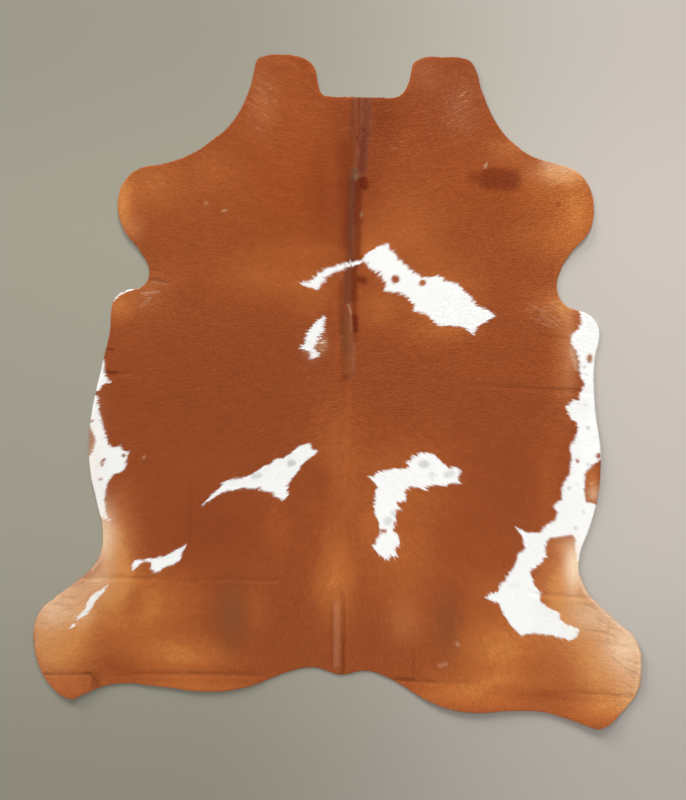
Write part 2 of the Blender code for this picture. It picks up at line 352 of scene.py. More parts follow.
# %% The creases
CREASES = {
    # place: from x, y, to x, y on the photograph, then sag, width and depth in mm
    "left armpit": (
        (151.5, 261.0, 160.0, 262.5,  0, 3.2,  0.5),
        (150.0, 269.0, 163.0, 270.5,  2, 3.6,  0.6),
        (148.8, 278.6, 168.0, 283.0, -4, 3.6,  1.0),
        (142.0, 294.6, 160.0, 291.3,  3, 4.5, -0.9),
        (140.8, 305.4, 152.0, 297.3, -3, 4.5, -0.8),
    ),
    "right armpit": (
        (525.0, 308.5, 549.0, 322.0,  3, 4.5, -0.8),
        (540.6, 311.0, 562.4, 322.0,  3, 4.5, -0.9),
        (532.0, 317.0, 549.0, 329.0,  3, 4.0, -0.7),
        (549.0, 303.6, 562.0, 302.4, -2, 4.0, -0.7),
        (538.0, 334.0, 569.0, 338.4, -3, 4.0,  0.5),
    ),
    "right hind leg": (
        (579.0, 603.6, 597.0, 609.4, -4, 2.0,  0.6),
        (594.0, 617.6, 606.0, 623.6, -3, 2.4,  0.7),
        (584.0, 630.0, 617.0, 638.0, -9, 2.8,  0.9),
        (608.5, 620.0, 608.0, 648.0,  3, 2.4,  0.8),
        (621.0, 656.0, 640.0, 663.6,  3, 2.2,  0.8),
        (611.0, 656.6, 639.0, 674.5,  5, 2.6,  0.9),
        (618.0, 677.0, 635.0, 688.6,  3, 2.2,  0.7),
        (598.0, 645.0, 628.0, 646.0, -4, 2.6,  0.5),
        (606.0, 627.0, 622.0, 632.0, -2, 2.4,  0.6),
        (591.0, 640.0, 612.0, 642.0,  2, 2.4,  0.5),
        (614.0, 640.0, 632.0, 648.0,  3, 2.2,  0.6),
        (602.0, 614.0, 598.0, 636.0,  2, 2.2,  0.5),
        (626.0, 671.6, 635.0, 677.6,  1, 2.2,  0.6),
    ),
    "left hind leg": (
        ( 61.5, 595.0,  79.0, 594.0,  9, 2.4,  0.7),
        ( 51.7, 601.6,  75.5, 604.8,  6, 2.4,  0.8),
        ( 62.5, 611.3,  73.4, 608.0, -3, 2.4,  0.7),
        ( 39.8, 622.0,  50.6, 623.3,  2, 2.4,  0.7),
        ( 50.6, 629.8,  58.0, 627.6, -2, 2.2,  0.6),
        ( 44.0, 612.0,  60.0, 614.0, -3, 2.2,  0.5),
        ( 66.0, 586.0,  84.0, 583.0,  4, 2.2,  0.5),
    ),
    "left hock": (
        ( 93.0, 672.0,  98.0, 687.0,  1, 5.0,  0.9),
    ),
    "left belly": (
        (191.0, 480.0, 191.0, 540.0,  3, 7.0,  0.3),
    ),
    "tail grooves": (
        (332.6, 603.0, 332.6, 667.0,  4, 6.0,  0.8),
        (343.8, 598.0, 343.8, 671.0, -3, 6.0,  0.9),
    ),
    "right rump": (
        (413.5, 656.0, 413.5, 680.0,  1, 4.5,  0.7),
    ),
    "left flank": (
        (105.0, 349.4, 114.0, 349.4,  0, 5.0,  1.0),
    ),
}


CREASE_STARTS, CREASE_FULL_FROM = -0.12, 0.18
all_creases = [crease for creases in CREASES.values() for crease in creases]


def crease_reading(x, y, crease):
    """How much of a crease is at each place: 1 on its line, and fading past its sides and ends."""
    from_x, from_y, to_x, to_y, sag, width, _ = crease
    start, end = on_floor(from_x, from_y), on_floor(to_x, to_y)
    length = np.hypot(*(end - start))
    along_x, along_y = (end - start) / length
    along = ((x - start[0]) * along_x + (y - start[1]) * along_y) / length
    across = (y - start[1]) * along_x - (x - start[0]) * along_y
    bent = across + sag * MM * np.clip(4.0 * along * (1.0 - along), 0.0, 1.0)
    from_start = smooth_step(CREASE_STARTS, CREASE_FULL_FROM, along)
    from_end = smooth_step(CREASE_STARTS, CREASE_FULL_FROM, 1.0 - along)
    return from_start * from_end * bump(bent, width * MM)


def crease_depth(x, y):
    return sum(crease[-1] * MM * crease_reading(x, y, crease) for crease in all_creases)


print(len(all_creases), "creases, the deepest", max(crease[-1] for crease in all_creases), "mm")

# %% [markdown]
# ## The points of the sheet
#
# The hair side needs points close together, and closer still on the backbone and the folds. Rows of
# points run along the folds and columns along the backbone, each row shifted by half a step, so that
# the triangles between them come out even. The underside is smoother and takes fewer points.

# %% Lay out rows and columns
ROW_STEP, COLUMN_STEP = 7.4 * MM, 8.5 * MM
FINE_STEP = 3.6 * MM
SPINE_BAND = 34.0 * MM
FOLD_BAND = 11.0 * MM
UNDERSIDE_STEP = 17.0 * MM
LARGEST_REACH = 1.12
RIM_INSETS = (0.6 * MM, 2.2 * MM, 5.0 * MM, EDGE_ROLL)
BENDING_ROUNDS = 4


def places_between(start, end, step, fine_bands, fine_step):
    """Even places from start to end, replaced by closer ones inside the fine bands."""
    places = np.arange(start, end, step)
    for low, high in fine_bands:
        places = places[(places < low - step / 2) | (places > high + step / 2)]
    fine = [np.arange(low, high + fine_step / 2, fine_step) for low, high in fine_bands]
    return np.sort(np.concatenate([places] + fine))


def lattice(rows, columns):
    """Points where the rows, bent along the folds, cross the columns, bent along the backbone."""
    half_steps = np.gradient(columns) / 2
    row_grid, column_grid = np.meshgrid(rows, columns, indexing="ij")
    column_grid = column_grid + (np.arange(len(rows)) % 2)[:, None] * half_steps
    x = column_grid
    for _ in range(BENDING_ROUNDS):
        y = row_grid - fold_drop(x)
        x = column_grid + spine_x(y)
    return np.stack([x.ravel(), y.ravel()], axis=1)


def clear_of_edge(points, clearance):
    return points[depth_inside(points)[0] > clearance]


fold_bands = [(line - FOLD_BAND, line + FOLD_BAND) for line in (TAIL_FOLD, HIP_FOLD, BELLY_FOLD)]
hair_rows = places_between(-LARGEST_REACH, LARGEST_REACH, ROW_STEP, fold_bands, FINE_STEP)
hair_columns = places_between(
    -LARGEST_REACH, LARGEST_REACH, COLUMN_STEP, [(-SPINE_BAND, SPINE_BAND)], FINE_STEP
)
hair_points = clear_of_edge(lattice(hair_rows, hair_columns), EDGE_ROLL + COLUMN_STEP / 2)
even_places = np.arange(-LARGEST_REACH, LARGEST_REACH, UNDERSIDE_STEP)
flesh_points = clear_of_edge(lattice(even_places, even_places), UNDERSIDE_STEP / 2)
print(len(hair_points), "points inside the hair side,", len(flesh_points), "inside the underside")


# %% Join the points with triangles
INSIDE_ONLY, SAME_PLACE = 1, 1e-7


def signed_areas(points, triangles):
    """Area of each triangle, above 0 where its corners run against the clock."""
    a, b, c = (points[triangles[:, corner]] for corner in range(3))
    return 0.5 * ((b - a)[:, 0] * (c - a)[:, 1] - (b - a)[:, 1] * (c - a)[:, 0])


def fill_ring(ring, inner):
    """Triangles over everything inside a closed ring of points, as rows of three numbers."""
    points = [Vector(point) for point in np.vstack([ring, inner]).tolist()]
    count = len(ring)
    sides = [(index, (index + 1) % count) for index in range(count)]
    out = delaunay_2d_cdt(points, sides, [list(range(count))], INSIDE_ONLY, SAME_PLACE)
    assert len(out[0]) == len(points), "the ring crosses itself"
    triangles = np.array(out[2])
    turned_over = signed_areas(np.array(out[0]), triangles) <= 0
    triangles[turned_over] = triangles[turned_over][:, ::-1]
    return triangles


def ring_at(inset):
    return edge + edge_inward * inset


def strip_between(outer_start, inner_start, count):
    """Two rows of triangles between one ring of points and the next."""
    here = np.arange(count)
    after = (here + 1) % count
    first = np.stack([outer_start + here, outer_start + after, inner_start + after], axis=1)
    second = np.stack([outer_start + here, inner_start + after, inner_start + here], axis=1)
    return np.vstack([first, second])


rings = [ring_at(inset) for inset in (0.0, 0.0) + RIM_INSETS]
RING = len(edge)
hair_triangles = fill_ring(rings[-1], hair_points)
flesh_triangles = fill_ring(rings[0], flesh_points)
print(len(hair_triangles), "triangles on the hair side,", len(flesh_triangles), "underneath")

# %% [markdown]
# ## The sheet
#
# The sheet is closed: an underside, a cut edge as thick as the skin, a coat that rolls over it, and
# the hair side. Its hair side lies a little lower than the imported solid's, because the locks that come
# later make up the rest of the coat.

# %% Heights of the two sides
LOCK_LOFT = 1.5 * MM
RIM_COAT = 0.4 * EDGE_COAT
THINNEST_COAT = 0.25 * MM


def edge_roll(depth):
    """0 on the cut edge and 1 where the coat has its full height, along a quarter circle."""
    share = np.clip(depth / EDGE_ROLL, 0.0, 1.0)
    return np.sqrt(1.0 - (1.0 - share) ** 2)


def hair_side_height(points, depth):
    x, y = points.T
    full = coat_height(x, y) - crease_depth(x, y) - LOCK_LOFT
    coat = RIM_COAT + (np.maximum(full, THINNEST_COAT) - RIM_COAT) * edge_roll(depth)
    return skin_lift(x, y) + SKIN + coat


ring_points = np.vstack(rings)
sheet_points = np.vstack([ring_points, hair_points, flesh_points])
ring_depths = np.repeat((0.0, 0.0) + RIM_INSETS, RING)
hair_from = len(ring_points)
flesh_from = hair_from + len(hair_points)
heights = np.empty(len(sheet_points))
heights[:RING] = skin_lift(*edge.T)
heights[RING:2 * RING] = skin_lift(*edge.T) + SKIN
heights[2 * RING:hair_from] = hair_side_height(ring_points[2 * RING:], ring_depths[2 * RING:])
heights[hair_from:flesh_from] = hair_side_height(hair_points, np.full(len(hair_points), EDGE_ROLL))
heights[flesh_from:] = skin_lift(*flesh_points.T)
print("Sheet from", round(heights.min() / MM, 2), "to", round(heights.max() / MM, 2), "mm high")

# %% Put the sheet together
wall = strip_between(0, RING, RING)
inner_rows = range(1, len(rings) - 1)
roll = np.vstack([strip_between(row * RING, (row + 1) * RING, RING) for row in inner_rows])
inner_ring = (len(rings) - 1) * RING
over = hair_triangles.copy()
over[hair_triangles < RING] += inner_ring
over[hair_triangles >= RING] += hair_from - RING
under = flesh_triangles[:, ::-1].copy()
under[under >= RING] += flesh_from - RING
corners = np.vstack([over, roll, wall, under])
COAT_SIDE, CUT_EDGE, FLESH_SIDE = 0, 1, 2
sides = np.repeat([COAT_SIDE, CUT_EDGE, FLESH_SIDE], [len(over) + len(roll), len(wall), len(under)])
SHARP_FROM = math.radians(50)


def mesh_from(name, points, triangles):
    mesh = bpy.data.meshes.new(name)
    mesh.vertices.add(len(points))
    mesh.vertices.foreach_set("co", np.asarray(points, dtype=np.float32).ravel())
    mesh.loops.add(len(triangles) * 3)
    mesh.loops.foreach_set("vertex_index", np.asarray(triangles, dtype=np.int32).ravel())
    mesh.polygons.add(len(triangles))
    mesh.polygons.foreach_set("loop_start", np.arange(0, len(triangles) * 3, 3, dtype=np.int32))
    mesh.update(calc_edges=True)
    assert not mesh.validate(), name + " has faulty faces"
    return mesh


sheet_mesh = mesh_from("hide_sheet", np.column_stack([sheet_points, heights]), corners)
sheet_mesh.polygons.foreach_set("material_index", sides.astype(np.int32))
sheet_mesh.shade_smooth()
sheet_mesh.set_sharp_from_angle(angle=SHARP_FROM)
hide_sheet = new_object("hide_sheet", sheet_mesh)
print("The sheet has", len(corners), "triangles")

# %% [markdown]
# ## White patches
#
# A white patch on a cow is not painted: it is where white hairs grow. So a patch is described as the
# place where the roots are, by its outline, and every hair asks how deep inside the patch its root
# lies. The outlines are read from the photograph, as places on it. Brown islands inside a
# patch are outlines of the same kind, taken away again.

# %% The outlines of the white patches
WHITE_PATCHES = {
    "main patch": (
        (362, 260), (367, 253), (378, 247), (386, 244), (393, 253), (401, 261), (410, 270), (421, 277),
        (431, 278), (438, 275), (443, 280), (458, 284), (468, 295), (477, 306), (487, 310), (496, 316),
        (488, 320), (479, 326), (473, 335), (464, 327), (450, 326), (438, 326), (430, 316), (415, 312),
        (412, 301), (399, 293), (384, 291), (385, 283), (379, 273), (369, 268)),
    "arc over the backbone": (
        (297, 282.6), (309, 282.6), (318, 273.6), (326, 269.6), (341, 265), (357, 261), (364, 260.4),
        (360, 264), (341, 269.4), (328, 275.6), (322, 284), (317.6, 290), (310, 288)),
    "small patch": (
        (324, 315), (326, 323), (322, 332), (318, 341), (314, 349), (320, 355), (311, 360), (311, 353),
        (301, 348), (305, 341), (309, 330), (316, 322)),
    "left hip patch": (
        (311, 443), (312, 449), (318, 452), (303, 463), (299, 470), (291, 480), (287, 486), (288, 495),
        (283, 501), (272, 493), (260, 489), (247, 488), (235, 489), (226, 491), (218, 495), (206, 503),
        (202, 506), (213, 493), (220, 488), (223, 482), (232, 479), (242, 478), (255, 473), (264, 466),
        (271, 464), (276, 458), (282, 459), (289, 454), (299, 446)),
    "right hip patch": (
        (426, 452), (435, 455), (441, 462), (449, 468), (456, 467), (462, 471), (457, 476), (460, 483),
        (450, 483), (441, 486), (434, 484), (425, 489), (410, 487), (405, 492), (406, 499), (398, 503),
        (400, 508), (395, 512), (396, 522), (392, 530), (398, 535), (400, 544), (394, 549), (398, 557),
        (391, 556), (387, 561), (379, 555), (373, 548), (376, 541), (380, 534), (379, 523), (374, 511),
        (375, 497), (377, 485), (369, 477), (378, 472), (391, 469), (407, 468), (407, 463),
        (412, 457)),
    "left groin patch": (
        (131, 566), (135, 560), (142, 560), (151, 558), (160, 557), (169, 554), (176, 550), (187, 544),
        (183, 551), (180, 560), (172, 565), (165, 567), (156, 573), (152, 569), (150, 561), (142, 562),
        (138, 566), (134, 571)),
    "left leg streak": (
        (109, 584), (104, 592), (99, 597), (94, 603), (91, 609), (86, 615), (80, 618), (75, 623),
        (79, 615), (84, 611), (87, 605), (90, 598), (94, 593), (101, 590)),
    "left leg streak, end": ((70, 628), (73, 624), (76, 623), (73, 628)),
    "left flank, upper": (
        (90, 358), (104, 360), (105, 368), (106, 377), (112, 383), (105, 383.6), (100, 389), (98, 391),
        (90, 391)),
    "left flank, lower": (
        (86, 397), (97, 395), (98, 401), (100, 416), (103, 424), (106, 435), (109, 445), (114, 448),
        (118, 446), (121, 446), (124, 451), (130, 451), (127, 458), (126, 468), (120, 473), (114, 474),
        (110, 480), (106, 488), (105, 500), (106, 512), (110, 521), (100, 517), (84, 500), (80, 440)),
    "right flank": (
        (580, 311), (581, 323), (577, 330), (571, 335), (571, 344), (576, 352), (579, 362), (580, 376),
        (584, 385), (580, 393), (578, 401), (572, 399), (566, 408), (570, 419), (576, 422), (578, 430),
        (574, 440), (570, 446), (571, 457), (570, 473), (566, 479), (562, 486), (561, 500), (553, 506),
        (557, 513), (555, 520), (545, 526), (540, 533), (528, 533), (516, 527), (523, 539), (525, 548),
        (518, 554), (514, 567), (501, 584), (498, 591), (484, 597), (498, 603), (503, 613), (510, 624),
        (520, 635), (534, 633), (550, 635), (570, 640), (577, 637), (579, 629), (568, 625), (560, 620),
        (559, 612), (547, 607), (539, 600), (541, 593), (534, 585), (530, 572), (536, 566), (546, 557),
        (545, 546), (549, 538), (562, 536), (572, 534), (575, 538), (575, 548), (577, 562), (592, 566),
        (615, 500), (612, 400), (606, 330), (592, 306)),
    "left shoulder rim": ((113, 302), (119, 296), (127, 292), (140, 288), (127, 289), (112, 295)),
}
BROWN_ISLANDS = {
    "left flank island": ((84, 425), (90, 426), (95, 434), (96, 443), (93, 450), (91, 456), (84, 456)),
    "right flank island": (
        (602, 459), (596, 462), (589, 467), (585, 475), (584, 490), (586, 503), (592, 503), (597, 506),
        (606, 498), (608, 470)),
}


# %% Measure the depth inside an outline
FAR_AWAY = 60.0 * MM


def depth_in_outline(points, outline):
    """Distance to the outline's nearest side, positive inside, and no more than FAR_AWAY."""
    corner = np.array([on_floor(*place) for place in outline])
    depth = np.full(len(points), -FAR_AWAY)
    low, high = corner.min(0) - FAR_AWAY, corner.max(0) + FAR_AWAY
    near = np.flatnonzero(((points > low) & (points < high)).all(1))
    x, y = points[near].T
    nearest = np.full(len(near), FAR_AWAY)
    inside = np.zeros(len(near), dtype=bool)
    for (x0, y0), (x1, y1) in zip(corner, np.roll(corner, -1, axis=0)):
        side_x, side_y = x1 - x0, y1 - y0
        share = ((x - x0) * side_x + (y - y0) * side_y) / (side_x**2 + side_y**2)
        share = np.clip(share, 0.0, 1.0)
        nearest = np.minimum(nearest, np.hypot(x - x0 - share * side_x, y - y0 - share * side_y))
        if side_y != 0.0:
            crosses = (y0 > y) != (y1 > y)
            inside ^= crosses & (x < x0 + (y - y0) * side_x / side_y)
    depth[near] = np.where(inside, nearest, -nearest)
    return depth


def white_depth(points):
    """Depth inside the white patches, counting their brown islands as outside."""
    white, brown = (
        np.max([depth_in_outline(points, line) for line in outlines.values()], axis=0)
        for outlines in (WHITE_PATCHES, BROWN_ISLANDS)
    )
    return np.minimum(white, -brown)


white_share = float((white_depth(hair_points) > 0).mean())
print("White covers", round(100 * white_share, 1), "% of the hair side")

# %% [markdown]
# ## Spots and shades
#
# The brown is not even. It is darker and redder along the back and belly, and lighter, almost golden,
# on the legs, with cream at the groins. Those soft shades are zones with no edge. The tone of a zone
# makes the brown lighter, or darker below 0. Pale draws it to cream, and smoke to a grey brown, or to
# russet below 0. Marks are small and firmer: brown islands in the white, grey flecks, pale and dark
# lines. Each is a short stroke with a half width and blurred sides, and its last number says how
# strongly it shows.

# %% Zones with a soft edge
TONE_ZONES = (
    # zone,                    photo x,   y, reach x, y,  tone
    ("shoulders",                  300, 225, 230, 110,  0.10),
    ("belly",                      330, 430, 230, 120, -0.20),
    ("left neck",                  275, 100,  40,  60,  0.10),
    ("right neck",                 425, 100,  50,  50, -0.28),
    ("right flap top",             458,  70,  18,  14, -0.30),
    ("beside the spine, left",     344, 195,  10,  62, -0.50),
    ("beside the spine, right",    381, 122,  17,  40, -0.66),
    ("right of the spine",         408, 232,  34,  34,  0.32),
    ("below the main patch",       378, 308,  20,  20,  0.45),
    ("right of the main patch",    438, 300,  30,  34,  0.45),
    ("left of the arc",            262, 276,  40,  22,  0.42),
    ("under the arc",              312, 290,  22,  28,  0.40),
    ("right foreleg",              578, 208,  26,  50,  0.80),
    ("right foreleg, inner",       536, 187,  24,  26,  0.44),
    ("left flank corner",          118, 306,  15,  16,  0.70),
    ("left belly",                 170, 400,  70,  60, -0.12),
    ("left ribs",                  262, 350,  50,  40, -0.10),
    ("right belly",                490, 470,  60,  60, -0.14),
    ("loin",                       334, 450,  28,  60,  0.50),
    ("right loin",                 410, 476,  56,  46,  0.50),
    ("tail line",                  338, 578,  18,  50,  0.78),
    ("left hip",                   212, 532,  52,  34, -0.28),
    ("right hip",                  400, 556,  34,  44,  0.50),
    ("left thigh",                 136, 604,  54,  36,  0.95),
    ("left thigh, dark",           104, 664,  26,   8, -0.14),
    ("left thigh, lower",          186, 656,  46,  20,  0.80),
    ("left rump strip",            190, 686,  60,  10,  0.50),
    ("right thigh, inner",         500, 650,  52,  42,  0.88),
    ("above the arc",              372, 250,  20,  14,  0.36),
    ("behind the main patch",      446, 298,  34,  30,  0.24),
    ("left hip, lower",            276, 524,  16,  40,  0.30),
    ("right hind leg, dark",       540, 695,  46,   7, -0.40),
    ("right hock",                 606, 708,  36,  18,  0.58),
    ("right rump strip",           476, 692,  76,  16,  0.62),
    ("right rump, dark",           504, 690,  24,   7, -0.26),
    ("left of the spine",          321, 196,  13,  34, -0.62),
    ("right of the spine, dark",   370, 182,  12,  26, -0.50),
    ("left thigh, patch",          135, 597,  10,  13, -0.30),
    ("left thigh, below",          142, 648,  30,  16,  0.18),
    ("under the main patch",       444, 332,  36,  12,  0.34),
    ("middle of the back",         322, 480,  11,  18, -0.34),
    ("right of the back",          370, 528,  11,  18,  0.30),
    ("neck, middle",               343, 120,  13,  30, -0.50),
    ("left thigh, by the streak",  126, 608,  16,  13, -0.30),
    ("left rump, inner",           256, 610,  15,  24,  0.32),
    ("left of the tail line",      320, 588,  11,  24,  0.28),
    ("right hip, outer",           494, 586,  22,  16,  0.24),
    ("right ribs, front",          542, 240,  32,  18,  0.28),
    ("before the arc",             300, 251,  44,   9,  0.24),
    ("right belly, outer",         548, 478,  14,  50,  0.22),
)
SHADE_ZONES = (
    # zone,                    photo x,   y, reach x, y,  tone, pale, smoke
    ("rump",                       310, 640, 140,  60, -0.12, 0.00,  0.05),
    ("left foreleg",               150, 184,  32,  24,  0.52, 0.00,  0.04),
    ("left foreleg edge",          122, 206,  11,  36,  0.75, 0.02,  0.00),
    ("left foreleg, inner",        212, 170,  26,  18,  0.26, 0.00,  0.06),
    # Right foreleg, front: golden hair, and its pale share is a painted highlight.
    ("right foreleg, front",       562, 171,  24,  11,  0.90, 0.22,  0.00),
    ("right shoulder edge",        508, 148,  20,  14,  0.50, 0.02,  0.08),
    ("right armpit",               560, 306,  22,  18,  0.62, 0.02,  0.00),
    ("right flank by the white",   570, 345,   7,  44,  0.24, 0.08,  0.00),
    ("left groin",                 117, 548,  18,  46,  1.05, 0.06,  0.00),
    ("left groin, cream edge",     105, 536,  10,  28,  0.26, 0.72,  0.00),
    ("left leg end",                44, 634,  14,  40,  0.30, 0.08,  0.00),
    ("right leg end",              634, 676,  12,  30,  0.40, 0.10,  0.00),
    ("left hind leg",               62, 640,  36,  50,  1.05, 0.04,  0.00),
    ("left hind leg, cream",        78, 590,  26,  14,  0.35, 0.36,  0.00),
    ("left hind leg end, cream",    54, 610,  20,  18,  0.20, 0.50,  0.00),
    ("left smudge",                231, 614,  15,  32, -0.20, 0.00,  0.45),
    ("right smudge",               448, 622,  13,  34, -0.25, 0.00,  0.34),
    ("right thigh",                562, 588,  28,  46,  1.00, 0.06,  0.00),
    ("right groin, cream",         574, 566,   9,  23,  0.50, 1.00,  0.00),
    ("right hind leg, cream",      625, 644,  22,  28,  0.36, 0.68,  0.00),
    ("right hind leg, middle",     594, 614,  24,  18,  0.90, 0.50,  0.00),
    ("left flap, outer",           262, 100,  14,  34,  0.20, 0.03,  0.00),
    ("right flap, outer",          462, 104,  20,  34,  0.12, 0.03,  0.00),
    ("right flap, inner",          424,  74,  16,  16,  0.24, 0.03,  0.04),
    ("small patch, creamy side",   323, 343,   4,   9,  0.10, 0.16,  0.00),
    ("right flank, inner",         564, 352,  12,  66,  0.42, 0.02,  0.00),
    ("right hind leg",             604, 660,  40,  42,  1.10, 0.06,  0.00),
    ("left leg, by the streak",     82, 614,  12,  11,  0.20, 0.24,  0.00),
    ("neck and withers, redder",   290, 190,  60,  90,  0.00, 0.00, -0.34),
    ("right shoulder, redder",     500, 185,  70,  52, -0.04, 0.00, -0.20),
    ("right leg rim, lower",       630, 690,  14,  22,  0.30, 0.14,  0.00),
    ("left groin, lower",           98, 578,  13,  10,  0.30, 0.26,  0.00),
    ("right groin, front",         562, 545,  10,   9,  0.34, 0.08,  0.00),
    ("left flank, cream white",     92, 462,   9,  56,  0.00, 0.34,  0.00),
    ("right flank spot",           590, 358,   4,   6,  0.90, 0.14,  0.00),
    ("right flank island",         592, 482,   7,  20,  0.80, 0.02,  0.00),
    ("right flank island, low",    594, 494,   7,   8,  0.20, 0.34,  0.00),
    ("left foreleg, rear",         134, 228,  10,  12,  0.34, 0.04,  0.00),
    ("right hip, lower",           404, 620,  18,  22,  0.42, 0.02,  0.00),
    ("left armpit, light",         142, 292,  26,  24,  0.32, 0.02,  0.00),
    ("small patch, cream",         312, 350,   8,  10,  0.00, 0.14,  0.00),
)


STRONGEST_TONE = 1.2


def zone_shares(points):
    """Sums of the zones at each point: tone, pale from 0 to 1, and smoke from -1 to 1."""
    tone, pale, smoke = np.zeros((3, len(points)))
    for _, *place, tone_here in TONE_ZONES:
        tone += tone_here * near_place(points, *place)
    for _, *place, tone_here, pale_here, smoke_here in SHADE_ZONES:
        share = near_place(points, *place)
        tone += tone_here * share
        pale += pale_here * share
        smoke += smoke_here * share
    tone = np.clip(tone, -STRONGEST_TONE, STRONGEST_TONE)
    return tone, np.clip(pale, 0.0, 1.0), np.clip(smoke, -1.0, 1.0)


print(len(TONE_ZONES) + len(SHADE_ZONES), "zones")

